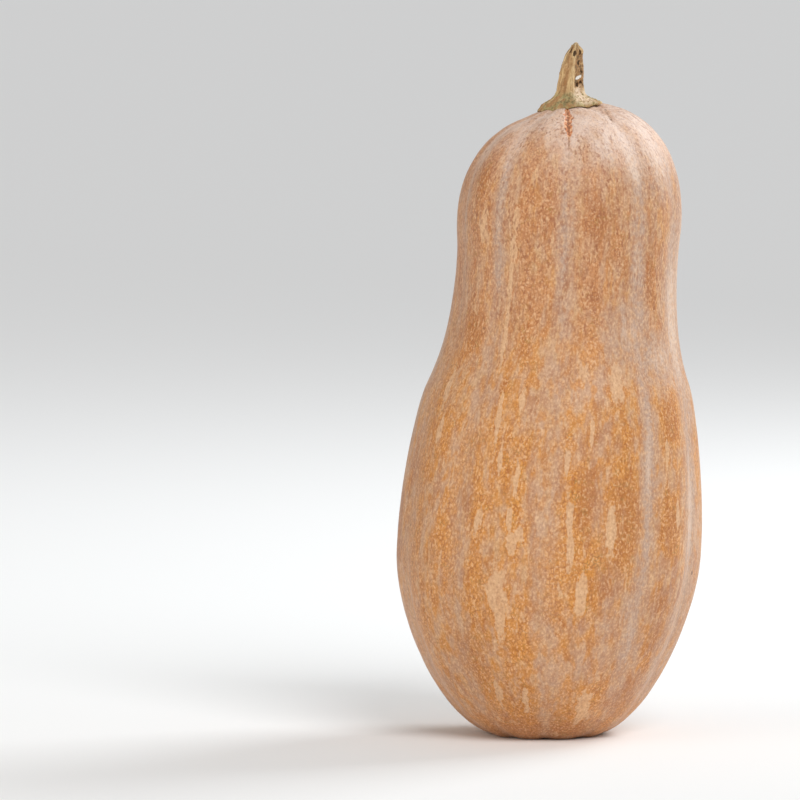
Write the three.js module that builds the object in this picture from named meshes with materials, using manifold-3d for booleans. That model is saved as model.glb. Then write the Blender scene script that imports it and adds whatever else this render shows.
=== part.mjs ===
// A whole butternut squash standing on its blossom end, with the dry corky stem that it was cut by.
// Millimetres, +Z up. The front faces -Y. Turns are measured from the front towards +X.
import * as THREE from "three";
import { mergeVertices } from "three/addons/utils/BufferGeometryUtils.js";
import Module from "manifold-3d";

const { smoothstep, lerp, degToRad } = THREE.MathUtils;

// The fruit's outline, measured on the crests of its lobes: radius and height.
const BELLY = new THREE.Vector2(70.3, 84);
const HIP = new THREE.Vector2(59.6, 163);
const NECK = new THREE.Vector2(50.9, 216);
const SHOULDER = new THREE.Vector2(51.8, 237);
const FRUIT_TOP = 290;
const HIP_SLOPE = degToRad(22.6);

// The blossom end: a shallow dimple with a scar in it, and round it the lobes that the fruit stands on.
const DIMPLE_HEIGHT = 4.2;
const REST_RADIUS = 19;
const LOBES_BELOW_REST = 0.8;
const SCAR_RADIUS = 4.5;
const SCAR_RISE = 0.5;

// The ten grooves between the lobes, in degrees round the axis, and how deep they are from the base to the stem.
const GROOVES = [-71, -40, -2, 41, 69, 104, 141, 178, 214, 252].map(degToRad);
const GROOVE_ROUNDING = 0.28;
const GROOVE_DEPTHS = [
  // height, depth
  [0, 0.9],
  [60, 1.9],
  [110, 1.7],
  [170, 1.0],
  [230, 0.9],
  [262, 1.2],
  [284, 1.0],
];

// How the fruit departs from a turned shape.
const LEAN = 10.7;
const LEAN_FROM = 40;
const LEAN_TO = 270;
const SHOULDER_RISE = new THREE.Vector2(2.9, 1.0);
const DEPTH_SHARE = 0.975;
const LUMPS = [
  // size, waves round the axis, start of the waves, height between waves, start of the height
  [0.7, 2, 1.1, 38, 0.6],
  [0.5, 3, -0.7, 27, 2.0],
];

// The stem, with heights above the skin under it.
const STEM_HEIGHT = 26.3;
const STEM_SUNK = 3;
const FOOT_RADIUS = 14.6;
const FOOT_THICKNESS = 2.1;
const FOOT_DEPTH_SHARE = 0.84;
const WAIST_RADIUS = 6.0;
const WAIST_HEIGHT = 7.6;
const TIP_RADIUS = 3.3;
const STEM_LEAN = new THREE.Vector2(1.6, 0.9);
const RIDGES = 5;
const RIDGE_TURN = degToRad(10);
const RIDGE_HEIGHT = 1.0;
const RIDGE_LEFT_AT_TIP = 0.35;
const RIDGE_TWIST = degToRad(14);
const TOES = 10;
const TOE_TURN = degToRad(14);
const TOE_LENGTH = 0.8;
const CUT_SLOPE = new THREE.Vector2(0.18, 0.62);
const CUT_HOLLOW = 1.0;
const SEAT_GAP = 0.3;

const FRUIT_SEGMENTS = 80;
const STEM_SEGMENTS = 60;

/** A cubic from one point to another, with its handles as steps from its two ends. */
function cubic(start, startHandle, end, endHandle) {
  return new THREE.CubicBezierCurve(
    start,
    start.clone().add(startHandle),
    end.clone().add(endHandle),
    end,
  );
}

/** Points along curves that meet end to end, with the number of steps that each is given. */
function outlineOf(...stretches) {
  return stretches.flatMap(([curve, steps], i) =>
    curve.getPoints(steps).slice(i ? 1 : 0),
  );
}

const across = (length) => new THREE.Vector2(length, 0);
const upward = (length) => new THREE.Vector2(0, length);

/** The fruit's crest outline, from the middle of the blossom scar to the middle of the top. */
function fruitOutline() {
  const scarEdge = new THREE.Vector2(SCAR_RADIUS, DIMPLE_HEIGHT);
  const rest = new THREE.Vector2(REST_RADIUS, -LOBES_BELOW_REST);
  const hipWay = new THREE.Vector2(-Math.sin(HIP_SLOPE), Math.cos(HIP_SLOPE));
  return outlineOf(
    [cubic(new THREE.Vector2(0, DIMPLE_HEIGHT - SCAR_RISE), across(3), scarEdge, across(-1)), 2],
    [cubic(scarEdge, across(3), rest, across(-6)), 5],
    [cubic(rest, across(26.4), BELLY, upward(-32.7)), 15],
    [cubic(BELLY, upward(29.7), HIP, hipWay.clone().multiplyScalar(-14.4)), 8],
    [cubic(HIP, hipWay.clone().multiplyScalar(17.9), NECK, upward(-15.5)), 6],
    [cubic(NECK, upward(13.2), SHOULDER, upward(-7.5)), 3],
    [cubic(SHOULDER, upward(31.6), new THREE.Vector2(0, FRUIT_TOP), across(35.5)), 15],
  );
}

/** The outward direction of an outline at each of its points. */
function outlineNormals(outline) {
  return outline.map((_, i) => {
    const before = outline[Math.max(i - 1, 0)];
    const after = outline[Math.min(i + 1, outline.length - 1)];
    const way = after.clone().sub(before).normalize();
    return new THREE.Vector2(way.y, -way.x);
  });
}

/** How far up a lobe a turn is: 0 in a groove and 1 on a crest. */
function lobe(turn) {
  const full = 2 * Math.PI;
  const from = GROOVES[0];
  const t = from + ((((turn - from) % full) + full) % full);
  const i = GROOVES.findLastIndex((groove) => groove <= t);
  const next = i + 1 < GROOVES.length ? GROOVES[i + 1] : from + full;
  const swell = Math.sin((Math.PI * (t - GROOVES[i])) / (next - GROOVES[i]));
  const rounded = (s) => Math.hypot(s, GROOVE_ROUNDING) - GROOVE_ROUNDING;
  return rounded(swell) / rounded(1);
}

/** The depth of the grooves at a height, as a smooth line through the stated depths. */
function grooveDepth(height) {
  const i = GROOVE_DEPTHS.findIndex(([z]) => z > height);
  if (i === 0) return GROOVE_DEPTHS[0][1];
  if (i < 0) return GROOVE_DEPTHS.at(-1)[1];
  const [z0, depth0] = GROOVE_DEPTHS[i - 1];
  const [z1, depth1] = GROOVE_DEPTHS[i];
  return lerp(depth0, depth1, smoothstep(height, z0, z1));
}

/** The low lumps that keep the fruit from being a turned shape. */
function lumps(turn, height) {
  return LUMPS.reduce(
    (sum, [size, waves, start, step, begin]) =>
      sum + size * Math.cos(waves * turn + start) * Math.sin(height / step + begin),
    0,
  );
}

/** The skin at a turn, over the outline's point and its outward direction. */
function skinPoint(turn, point, normal) {
  const clearOfPoles = smoothstep(point.x, 2, 18);
  const inward = grooveDepth(point.y) * (1 - lobe(turn)) * clearOfPoles;
  const outward = lumps(turn, point.y) * clearOfPoles * smoothstep(point.y, 2, 30) - inward;
  const radius = point.x + outward * normal.x;
  const rise =
    (SHOULDER_RISE.x * Math.sin(turn) - SHOULDER_RISE.y * Math.cos(turn)) *
    smoothstep(point.y, 225, 275) *
    smoothstep(point.x, 0, 26);
  return new THREE.Vector3(
    radius * Math.sin(turn) + LEAN * smoothstep(point.y, LEAN_FROM, LEAN_TO),
    -radius * Math.cos(turn) * DEPTH_SHARE,
    Math.max(point.y + outward * normal.y + rise, 0),
  );
}

/** A lathe of an outline, with each vertex put where place(turn, row) says. */
function turned(outline, segments, place) {
  const geometry = new THREE.LatheGeometry(outline, segments);
  const position = geometry.getAttribute("position");
  for (let i = 0; i < position.count; i++) {
    const turn = (2 * Math.PI * Math.floor(i / outline.length)) / segments;
    const at = place(turn % (2 * Math.PI), i % outline.length);
    position.setXYZ(i, at.x, at.y, at.z);
  }
  geometry.deleteAttribute("normal");
  geometry.deleteAttribute("uv");
  return mergeVertices(geometry, 1e-4);
}

const outline = fruitOutline();
const normals = outlineNormals(outline);

/** The fruit's closed skin. */
function fruitGeometry() {
  return turned(outline, FRUIT_SEGMENTS, (turn, row) => {
    const onAxis = outline[row].x < 1e-6;
    return skinPoint(onAxis ? 0 : turn, outline[row], normals[row]);
  });
}

/** The height of the skin near the fruit's top, at a distance from its axis. */
function seatHeight(turn, radius) {
  const row = outline.findLastIndex((point) => point.x >= radius);
  const next = Math.min(row + 1, outline.length - 1);
  const share = (outline[row].x - radius) / (outline[row].x - outline[next].x || 1);
  const point = outline[row].clone().lerp(outline[next], share);
  const normal = normals[row].clone().lerp(normals[next], share);
  return skinPoint(turn, point, normal).z;
}

/** The stem's outline: its hidden underside, the flared foot, the shaft, and the cut face at the tip. */
function stemOutline() {
  const rim = new THREE.Vector2(FOOT_RADIUS, 0);
  const lip = new THREE.Vector2(FOOT_RADIUS - 0.9, FOOT_THICKNESS);
  const waist = new THREE.Vector2(WAIST_RADIUS, WAIST_HEIGHT);
  const tip = new THREE.Vector2(TIP_RADIUS, STEM_HEIGHT);
  const below = upward(-STEM_SUNK);
  return outlineOf(
    [new THREE.LineCurve(below, rim.clone().add(below)), 3],
    [new THREE.LineCurve(rim.clone().add(below), rim), 1],
    [cubic(rim, upward(0.6), lip, across(0.4)), 2],
    [cubic(lip, new THREE.Vector2(-4.5, 0.9), waist, upward(-3.2)), 7],
    [cubic(waist, upward(6), tip, new THREE.Vector2(1.3, -4.5)), 8],
    [new THREE.LineCurve(tip, upward(STEM_HEIGHT)), 3],
  );
}

/** How far along a turn is from a hollow, 0, to a ridge, 1, for so many even ridges. */
function ridge(turn, count, first) {
  return 1 - Math.abs(Math.sin((count * (turn - first)) / 2)) ** 0.9;
}

/** A point of the stem's surface, over the outline's point. */
function stemPoint(turn, point) {
  const { x: radius, y: height } = point;
  const onFoot = smoothstep(radius, WAIST_RADIUS + 1, FOOT_RADIUS) * (1 - smoothstep(height, 5, 9));
  const onShaft = 1 - smoothstep(radius, WAIST_RADIUS + 2, FOOT_RADIUS);
  const edge = smoothstep(radius, 0.5, TIP_RADIUS);
  const twist = RIDGE_TWIST * (height / STEM_HEIGHT);
  const ridgeHeight =
    RIDGE_HEIGHT * lerp(1, RIDGE_LEFT_AT_TIP, smoothstep(height, WAIST_HEIGHT, STEM_HEIGHT));
  const reach =
    radius +
    TOE_LENGTH * (ridge(turn, TOES, TOE_TURN) - 0.7) * onFoot +
    ridgeHeight * (ridge(turn, RIDGES, RIDGE_TURN + twist) - 0.45) * onShaft * edge;
  const lean = STEM_LEAN.clone().multiplyScalar((Math.max(height, 0) / STEM_HEIGHT) ** 2);
  const x = reach * Math.sin(turn);
  const y = -reach * Math.cos(turn) * lerp(1, FOOT_DEPTH_SHARE, 1 - onShaft);
  const nearTip = smoothstep(height, WAIST_HEIGHT + 4, STEM_HEIGHT);
  const cut = (CUT_SLOPE.x * x + CUT_SLOPE.y * y - CUT_HOLLOW * (1 - edge)) * nearTip;
  const nearSkin = 1 - smoothstep(height, 0, WAIST_HEIGHT);
  const seatRadius = Math.min(Math.hypot(x, y), FOOT_RADIUS + 2);
  const seat = lerp(FRUIT_TOP, seatHeight(Math.atan2(x, -y), seatRadius), nearSkin);
  return new THREE.Vector3(x + LEAN + lean.x, y * DEPTH_SHARE + lean.y, seat + height + cut);
}

/** A closed geometry as a solid for cutting and joining. */
function solidOf(wasm, geometry) {
  return new wasm.Manifold(
    new wasm.Mesh({
      numProp: 3,
      vertProperties: geometry.getAttribute("position").array,
      triVerts: new Uint32Array(geometry.index.array),
    }),
  );
}

/** A solid back as a geometry. */
function geometryOf(solid) {
  const mesh = solid.getMesh();
  return new THREE.BufferGeometry()
    .setAttribute("position", new THREE.BufferAttribute(mesh.vertProperties, 3))
    .setIndex(new THREE.BufferAttribute(mesh.triVerts, 1));
}

/** A smooth closed geometry with its skin moved outwards. */
function grown(geometry, distance) {
  const bigger = geometry.clone();
  bigger.computeVertexNormals();
  const position = bigger.getAttribute("position");
  const normal = bigger.getAttribute("normal");
  const at = new THREE.Vector3();
  const way = new THREE.Vector3();
  for (let i = 0; i < position.count; i++) {
    at.fromBufferAttribute(position, i);
    at.addScaledVector(way.fromBufferAttribute(normal, i), distance);
    position.setXYZ(i, at.x, at.y, at.z);
  }
  return bigger;
}

/** The stem's closed surface, with its foot cut to the fruit that it sits on. */
function stemGeometry(wasm, fruit) {
  const rows = stemOutline();
  const whole = turned(rows, STEM_SEGMENTS, (turn, row) =>
    stemPoint(rows[row].x < 1e-6 ? 0 : turn, rows[row]),
  );
  const cut = solidOf(wasm, whole).subtract(solidOf(wasm, grown(fruit, SEAT_GAP)));
  const largest = cut.decompose().sort((a, b) => b.volume() - a.volume())[0];
  return geometryOf(largest);
}

/** A named sub-part in its own finish. */
function subpart(name, geometry, colour, roughness) {
  geometry.computeVertexNormals();
  const material = new THREE.MeshStandardMaterial({ color: colour, roughness, metalness: 0 });
  const mesh = new THREE.Mesh(geometry, material);
  mesh.name = name;
  return mesh;
}

const wasm = await Module();
wasm.setup();

const fruit = fruitGeometry();
const squash = new THREE.Group();
squash.add(subpart("fruit", fruit, 0xc49468, 0.55));
squash.add(subpart("stem", stemGeometry(wasm, fruit), 0xad8a5c, 0.9));

// The origin is under the middle of the whole squash, on the surface that it stands on.
const middle = new THREE.Box3().setFromObject(squash).getCenter(new THREE.Vector3());
squash.position.set(-middle.x, -middle.y, 0);

export default squash;
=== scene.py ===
"""A whole butternut squash, standing on its blossom end, with the dry corky stem it was cut by.

Shapes are worked out in millimetres and put into the scene in metres. A turn is an angle round
the squash in radians, from the front, -Y, towards +X. A height is measured from the floor.
"""

import logging
import math
import random
from dataclasses import dataclass, field
from enum import Enum

import bmesh
import bpy
import numpy as np
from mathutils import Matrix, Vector, noise
from mathutils.bvhtree import BVHTree
from mathutils.geometry import interpolate_bezier


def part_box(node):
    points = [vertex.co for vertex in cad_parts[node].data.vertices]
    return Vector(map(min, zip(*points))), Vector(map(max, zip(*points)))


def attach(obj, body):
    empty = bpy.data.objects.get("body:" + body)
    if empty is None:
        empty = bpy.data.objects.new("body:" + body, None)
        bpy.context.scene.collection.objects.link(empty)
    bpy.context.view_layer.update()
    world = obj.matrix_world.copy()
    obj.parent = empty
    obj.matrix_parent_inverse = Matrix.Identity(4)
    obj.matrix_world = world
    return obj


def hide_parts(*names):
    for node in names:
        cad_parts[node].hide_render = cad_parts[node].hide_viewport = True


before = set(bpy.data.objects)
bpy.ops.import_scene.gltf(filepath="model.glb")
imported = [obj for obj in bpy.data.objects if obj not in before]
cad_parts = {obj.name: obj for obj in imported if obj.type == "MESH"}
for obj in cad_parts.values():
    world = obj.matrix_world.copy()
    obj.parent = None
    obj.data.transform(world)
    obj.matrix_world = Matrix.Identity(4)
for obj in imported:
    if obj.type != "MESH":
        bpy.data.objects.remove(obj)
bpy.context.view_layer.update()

MM = 0.001
FULL_TURN = 2 * math.pi
log = logging.getLogger("butternut_squash")


class Side(Enum):
    """Where a lamp stands, seen from the camera: degrees to the right of it, and above the floor."""

    RIGHT_FRONT = (26.0, 39.0)
    LEFT_FRONT = (-60.0, 16.0)
    RIGHT_BACK = (128.0, 34.0)


# Plain helpers for shapes.


def ease(value: float, low: float, high: float) -> float:
    """Rises smoothly from 0 to 1 between two values.

    Args:
        value: Where to read the rise.
        low: The value at which the rise starts.
        high: The value at which it ends.

    Returns:
        A number from 0 to 1.
    """
    t = min(max((value - low) / (high - low), 0.0), 1.0)
    return t * t * (3 - 2 * t)


def ease_all(values: np.ndarray, low: float, high: float) -> np.ndarray:
    """Does for an array what ease does for a number.

    Args:
        values: Where to read the rise.
        low: The value at which the rise starts.
        high: The value at which it ends.

    Returns:
        Numbers from 0 to 1.
    """
    t = np.clip((values - low) / (high - low), 0.0, 1.0)
    return t * t * (3 - 2 * t)


def ripple(x: float, y: float, z: float, size: float) -> float:
    """Reads smooth noise whose lumps are about as wide as a size in millimetres.

    Args:
        x: Place across.
        y: Place along the depth.
        z: Height.
        size: Width of a lump.

    Returns:
        A number from about -1 to 1.
    """
    return noise.noise(Vector((x / size, y / size, z / size)))


def direction(turn: float) -> tuple[float, float]:
    """Gives the outward direction of a turn, seen from above.

    Args:
        turn: The turn in radians.

    Returns:
        The direction's X and Y.
    """
    return math.sin(turn), -math.cos(turn)


@dataclass(frozen=True)
class Stretch:
    """One smooth stretch of an outline, as radius and height, with its handles as steps from its ends."""

    start: tuple[float, float]
    leaving: tuple[float, float]
    arriving: tuple[float, float]
    end: tuple[float, float]
    steps: int

    def points(self) -> list[Vector]:
        """Returns the stretch's points, both ends among them."""
        start, end = Vector(self.start), Vector(self.end)
        handles = start + Vector(self.leaving), end + Vector(self.arriving)
        return [point.to_2d() for point in interpolate_bezier(
            start.to_3d(), handles[0].to_3d(), handles[1].to_3d(), end.to_3d(), self.steps + 1
        )]


@dataclass(frozen=True)
class Outline:
    """The outline of a body that is spun round its axis, from its underside to its top."""

    stretches: tuple[Stretch, ...]
    points: list[Vector] = field(init=False)
    outward: list[Vector] = field(init=False)
    lengths: list[float] = field(init=False)

    def __post_init__(self) -> None:
        """Joins the stretches and measures the result."""
        points = self.stretches[0].points()
        for stretch in self.stretches[1:]:
            points += stretch.points()[1:]
        ways = [
            (points[min(i + 1, len(points) - 1)] - points[max(i - 1, 0)]).normalized()
            for i in range(len(points))
        ]
        lengths = [0.0]
        for before, after in zip(points, points[1:]):
            lengths.append(lengths[-1] + (after - before).length)
        object.__setattr__(self, "points", points)
        object.__setattr__(self, "outward", [Vector((way.y, -way.x)) for way in ways])
        object.__setattr__(self, "lengths", lengths)

    def spun(self, segments: int) -> bmesh.types.BMesh:
        """Spins the outline round its axis into a closed body, with its poles closed.

        Args:
            segments: Faces round the axis.

        Returns:
            The body, with each vertex's place on the outline in the layer "row".
        """
        body = bmesh.new()
        row_layer = body.verts.layers.float.new("row")
        last = None
        for row, point in enumerate(self.points):
            vert = body.verts.new((0.0, -point.x, point.y))
            vert[row_layer] = row
            if last:
                body.edges.new((last, vert))
            last = vert
        bmesh.ops.spin(
            body,
            geom=body.verts[:] + body.edges[:],
            cent=(0.0, 0.0, 0.0),
            axis=(0.0, 0.0, 1.0),
            angle=FULL_TURN,
            steps=segments,
            use_merge=True,
        )
        poles = [vert for vert in body.verts if math.hypot(vert.co.x, vert.co.y) < 1e-6]
        bmesh.ops.remove_doubles(body, verts=poles, dist=1e-5)
        bmesh.ops.recalc_face_normals(body, faces=body.faces)
        return body


# The fruit.


@dataclass(frozen=True)
class Mark:
    """A patch of colour on the skin, by its middle and its half width and half length."""

    turn: float
    height: float
    half_width: float
    half_length: float
    strength: float = 1.0


@dataclass(frozen=True)
class MarkSet:
    """Patches of one colour: those on the front, and how many more are scattered over the back."""

    front: tuple[Mark, ...]
    scattered: int
    seed: int

    def marks(self) -> list[Mark]:
        """Returns the front's patches, and others like them from a fixed seed for the back."""
        dice = random.Random(self.seed)
        back = []
        for _ in range(self.scattered):
            like = dice.choice(self.front)
            back.append(
                Mark(
                    dice.uniform(78, 286),
                    min(max(like.height + dice.uniform(-28, 28), 12), 276),
                    like.half_width * dice.uniform(0.8, 1.2),
                    like.half_length * dice.uniform(0.8, 1.2),
                    like.strength,
                )
            )
        return list(self.front) + back

    def nearness(self, turns: np.ndarray, heights: np.ndarray) -> np.ndarray:
        """Measures how far inside a patch each point is.

        Args:
            turns: The points' turns in radians.
            heights: The points' heights in millimetres.

        Returns:
            1 in the middle of a patch, 0 on its edge and -1 well outside of all of them.
        """
        best = np.full(turns.shape, -1.0)
        for mark in self.marks():
            away = np.degrees(turns) - mark.turn
            away = (away + 180) % 360 - 180
            reach = np.hypot(away / mark.half_width, (heights - mark.height) / mark.half_length)
            best = np.maximum(best, mark.strength * (1 - reach))
        return best


OCHRE_MARKS = MarkSet(
    front=(
        Mark(-54, 260, 9, 20, 1.8), Mark(-57, 230, 7, 18, 1.0), Mark(-53, 189, 11, 17, 1.9),
        Mark(-65, 192, 5, 14, 0.7), Mark(-24, 268, 9, 13, 0.8), Mark(-12, 244, 9, 22, 0.9),
        Mark(-26, 246, 7, 20, 0.7), Mark(-20, 205, 12, 34, 0.7), Mark(12, 240, 12, 24),
        Mark(13, 205, 7, 12, 1.1), Mark(24, 228, 7, 16, 0.7), Mark(12, 185, 7, 16, 0.7),
        Mark(49, 256, 6, 14, 0.8), Mark(46, 212, 8, 14), Mark(-26.5, 163, 3, 7, 1.2),
        Mark(-16, 176, 5, 6, 0.9), Mark(-36, 136, 9, 18, 0.7), Mark(-20, 128, 12, 22, 0.9),
        Mark(-54, 148, 8, 18, 0.7), Mark(-15, 103, 8, 16, 1.1), Mark(-30, 72, 5, 32, 1.2),
        Mark(-30, 110, 6, 20, 1.0), Mark(8, 108, 8, 32, 1.4), Mark(14, 84, 7, 24, 1.4),
        Mark(3, 142, 5, 10, 0.6), Mark(27, 122, 8, 24, 1.2), Mark(29, 95, 7, 22, 1.4),
        Mark(53, 148, 9, 18, 1.5), Mark(52, 102, 9, 18, 1.5), Mark(-14, 50, 9, 22),
        Mark(-34, 34, 8, 20), Mark(2, 78, 7, 32, 1.1), Mark(-18, 16, 20, 12, 0.6),
        # Mark(0, 2, 90, 13, 1.4) and Mark(180, 2, 100, 9) ring the bottom of the fruit: painted contact shade,
        # darker and warmer towards the floor.
        Mark(26, 22, 8, 12, 1.1), Mark(6, 18, 14, 10, 0.5), Mark(0, 2, 90, 13, 1.4), Mark(180, 2, 100, 9),
        Mark(-66, 150, 9, 60, 0.9), Mark(-66, 70, 12, 50, 0.8), Mark(-74, 215, 6, 50, 0.7),
        Mark(-44, 96, 7, 30, 0.8), Mark(-42, 225, 6, 26, 0.5),
    ),
    scattered=46,
    seed=11,
)

BROWN_MARKS = MarkSet(
    front=(
        Mark(28, 104, 9, 28, 1.5), Mark(13.5, 205, 6, 9), Mark(12, 112, 6, 24, 1.3),
        Mark(14, 240, 11, 18, 0.8), Mark(-54, 260, 8, 14, 1.4), Mark(-53, 190, 10, 13, 1.3),
        Mark(-10, 242, 6, 13, 0.7), Mark(-27, 165, 2.6, 5), Mark(51, 100, 8, 15, 1.3),
        # Mark(0, 2, 80, 12, 1.6) darkens the bottom edge further: painted contact shade.
        Mark(52, 148, 8, 15, 1.0), Mark(45, 212, 7, 12, 0.8), Mark(0, 2, 80, 12, 1.6),
        Mark(-36, 112, 5, 16, 0.8), Mark(-37, 40, 9, 22, 0.7), Mark(18, 142, 10, 12, 0.7),
        Mark(22, 74, 12, 22, 0.7), Mark(52, 60, 14, 34, 0.7), Mark(28, 44, 12, 24, 0.5),
        Mark(46, 20, 20, 16, 0.9),
    ),
    scattered=22,
    seed=5,
)

PALE_MARKS = MarkSet(
    front=(
        Mark(-20.5, 71, 4.2, 10), Mark(-19.5, 59, 2.4, 11), Mark(11.6, 70, 2.4, 12),
        Mark(6.0, 104, 1.5, 12), Mark(6.8, 92, 1.5, 10), Mark(22.3, 99, 2.1, 13),
        Mark(-15.4, 93, 2.6, 5), Mark(-12.8, 98, 1.8, 4), Mark(-17.0, 105, 1.3, 5),
        Mark(-26.5, 150, 1.5, 13), Mark(-31.4, 188, 1.3, 17), Mark(-31, 208, 1.6, 14, 0.7),
        Mark(24.5, 165, 4, 9, 0.7), Mark(3.8, 131, 1.4, 6), Mark(13.2, 143, 1.1, 6),
        Mark(-30, 102, 1.3, 8), Mark(-15.5, 123, 1.1, 9), Mark(-25.5, 24, 2.2, 7),
        Mark(20, 17, 4.2, 9), Mark(-28, 240, 2.7, 5, 0.7), Mark(-30, 227, 2.2, 7, 0.6),
        Mark(-57, 143, 1.7, 9), Mark(-49, 236, 2.4, 10, 0.9), Mark(-12, 22, 2.0, 8, 0.7),
        Mark(55, 104, 1.2, 8), Mark(49, 132, 1.0, 9, 0.8), Mark(-60, 163, 2.2, 12, 0.8),
        Mark(-17, 158, 1.3, 8, 0.8), Mark(-23, 132, 1.0, 8, 0.8),
    ),
    scattered=36,
    seed=23,
)

BLOOM_MARKS = MarkSet(
    front=(
        Mark(-39, 240, 5, 50, 1.1), Mark(-69, 240, 5, 44, 0.6), Mark(-3, 232, 6, 56, 0.8),
        Mark(38, 265, 10, 27, 1.8), Mark(38, 220, 8, 36, 1.2), Mark(39, 128, 5, 80, 1.2),
        Mark(36, 54, 7, 44, 1.1), Mark(67, 104, 8, 70, 1.5), Mark(-10, 112, 4, 46, 0.2),
        Mark(17, 100, 3, 30, 0.3), Mark(24, 272, 14, 14, 1.1), Mark(8, 282, 34, 10, 0.8),
        Mark(58, 262, 20, 26, 1.5), Mark(24, 52, 7, 26, 0.8), Mark(33, 188, 20, 22, 1.2),
        Mark(52, 176, 22, 20, 1.3), Mark(72, 192, 16, 66, 1.7), Mark(60, 52, 8, 34, 0.3),
        Mark(30, 300, 60, 16, 0.8), Mark(13, 38, 10, 14, 0.4), Mark(-33, 152, 3, 22, 0.3),
    ),
    scattered=20,
    seed=37,
)


@dataclass
class Fruit:
    """The fruit: its crest outline, its lobes, and what makes it a grown thing."""

    top: float = 290.0
    belly: tuple[float, float] = (70.3, 84.0)
    hip: tuple[float, float] = (59.6, 163.0)
    hip_slope: float = math.radians(22.6)
    neck: tuple[float, float] = (50.9, 216.0)
    shoulder: tuple[float, float] = (51.8, 237.0)
    dimple_height: float = 4.2
    rest_radius: float = 19.0
    below_rest: float = 0.8
    scar_radius: float = 4.5
    scar_rise: float = 0.5
    grooves: tuple[float, ...] = (-71, -40, -2, 41, 69, 104, 141, 178, 214, 252)
    groove_rounding: float = 0.28
    groove_depths: tuple[tuple[float, float], ...] = (
        (0, 0.9), (60, 1.9), (110, 1.7), (170, 1.0), (230, 0.9), (262, 1.2), (284, 1.0),
    )
    lean: float = 10.7
    lean_heights: tuple[float, float] = (39.0, 269.0)
    shoulder_rise: tuple[float, float] = (2.9, 1.0)
    depth_share: float = 0.975
    lumps: tuple[tuple[float, ...], ...] = ((0.7, 2, 1.1, 38, 0.6), (0.5, 3, -0.7, 27, 2.0))
    crack_offsets: tuple[float, float] = (-1.5, -1.4)
    crack_radii: tuple[float, float] = (11.0, 43.0)
    crease_ends: tuple[tuple[float, float], tuple[float, float]] = ((14.0, -4.0), (20.6, -27.5))
    segments: int = 360
    outline: Outline = field(init=False)
    shift: Vector = field(init=False)
    share: Vector = field(init=False)

    def __post_init__(self) -> None:
        """Draws the outline from the sizes."""
        up_hip = Vector((-math.sin(self.hip_slope), math.cos(self.hip_slope)))
        scar_edge = (self.scar_radius, self.dimple_height)
        rest = (self.rest_radius, -self.below_rest)
        scar_middle = (0.0, self.dimple_height - self.scar_rise)
        self.outline = Outline((
            Stretch(scar_middle, (3, 0), (-1, 0), scar_edge, 6),
            Stretch(scar_edge, (3, 0), (-6, 0), rest, 20),
            Stretch(rest, (26.4, 0), (0, -32.7), self.belly, 78),
            Stretch(self.belly, (0, 29.7), tuple(up_hip * -14.4), self.hip, 36),
            Stretch(self.hip, tuple(up_hip * 17.9), (0, -15.5), self.neck, 24),
            Stretch(self.neck, (0, 13.2), (0, -7.5), self.shoulder, 9),
            Stretch(self.shoulder, (0, 31.6), (35.5, 0), (0.0, self.top), 92),
        ))
        self.shift = Vector((0.0, 0.0, 0.0))
        self.share = Vector((1.0, 1.0, 1.0))

    def lobe(self, turn: float) -> float:
        """Says how far up a lobe a turn is.

        Args:
            turn: The turn in radians.

        Returns:
            0 in a groove and 1 on a crest.
        """
        first = math.radians(self.grooves[0])
        t = first + (turn - first) % FULL_TURN
        edges = [math.radians(groove) for groove in self.grooves] + [first + FULL_TURN]
        i = max(k for k, edge in enumerate(edges[:-1]) if edge <= t + 1e-9)
        swell = math.sin(math.pi * (t - edges[i]) / (edges[i + 1] - edges[i]))
        rounding = self.groove_rounding
        return (math.hypot(swell, rounding) - rounding) / (math.hypot(1, rounding) - rounding)

    def groove_depth(self, height: float) -> float:
        """Reads the grooves' depth at a height.

        Args:
            height: The height in millimetres.

        Returns:
            The depth in millimetres.
        """
        keys = self.groove_depths
        if height <= keys[0][0]:
            return keys[0][1]
        for (low, depth_low), (high, depth_high) in zip(keys, keys[1:]):
            if height < high:
                return depth_low + (depth_high - depth_low) * ease(height, low, high)
        return keys[-1][1]

    def wander(self, height: float, turn: float) -> float:
        """Says how far a groove strays sideways, in radians, at a height.

        Args:
            height: The height in millimetres.
            turn: The turn in radians.

        Returns:
            The stray turn in radians.
        """
        x, y = direction(turn)
        return math.radians(1.6) * ripple(x * 60, y * 60, height, 55)

    def crack(self, turn: float, radius: float, height: float) -> tuple[float, float, float]:
        """Measures the split that runs from the stem down the front groove, and the line under it.

        Args:
            turn: The turn in radians.
            radius: The distance from the axis.
            height: The height in millimetres.

        Returns:
            How deep the skin is split, in millimetres, and how much flesh and how much of a dark
            line shows there, from 0 to 1.
        """
        inner, outer = self.crack_radii
        start, end = self.crack_offsets
        if height < 252 or math.cos(turn) < 0.8:
            return 0.0, 0.0, 0.0
        middle = start + (end - start) * ease(radius, inner, outer)
        across = radius * math.sin(turn) - middle + 0.4 * ripple(3.0, 7.0, radius + height, 5)
        ragged = 1 + 0.9 * ripple(9.0 * math.copysign(1, across), 2.0, radius, 2.6)
        wide = 2.25 * ragged * ease(radius, inner - 4, inner + 9) * (1 - ease(radius, outer - 17, outer))
        open_split = 1 - ease(abs(across), 0.45 * wide, 1.15 * wide + 0.05)
        on_line = ease(height, 256, 266) * ease(radius, inner, inner + 3)
        hair = 0.85 * (1 - ease(abs(across), 0.05, 0.7)) * on_line * (1 - 0.45 * ease(radius, 32, 45))
        branch = 1 - ease(abs(across + 3.3), 0.2, 1.0)
        branch *= ease(radius, 27, 29.5) * (1 - ease(radius, 32, 35))
        hair = max(hair, 0.45 * branch)
        flesh = max(open_split * min(1.0, wide * 1.3), 0.35 * branch)
        return 0.5 * open_split * min(wide, 1) + 0.28 * hair, flesh, hair

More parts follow.
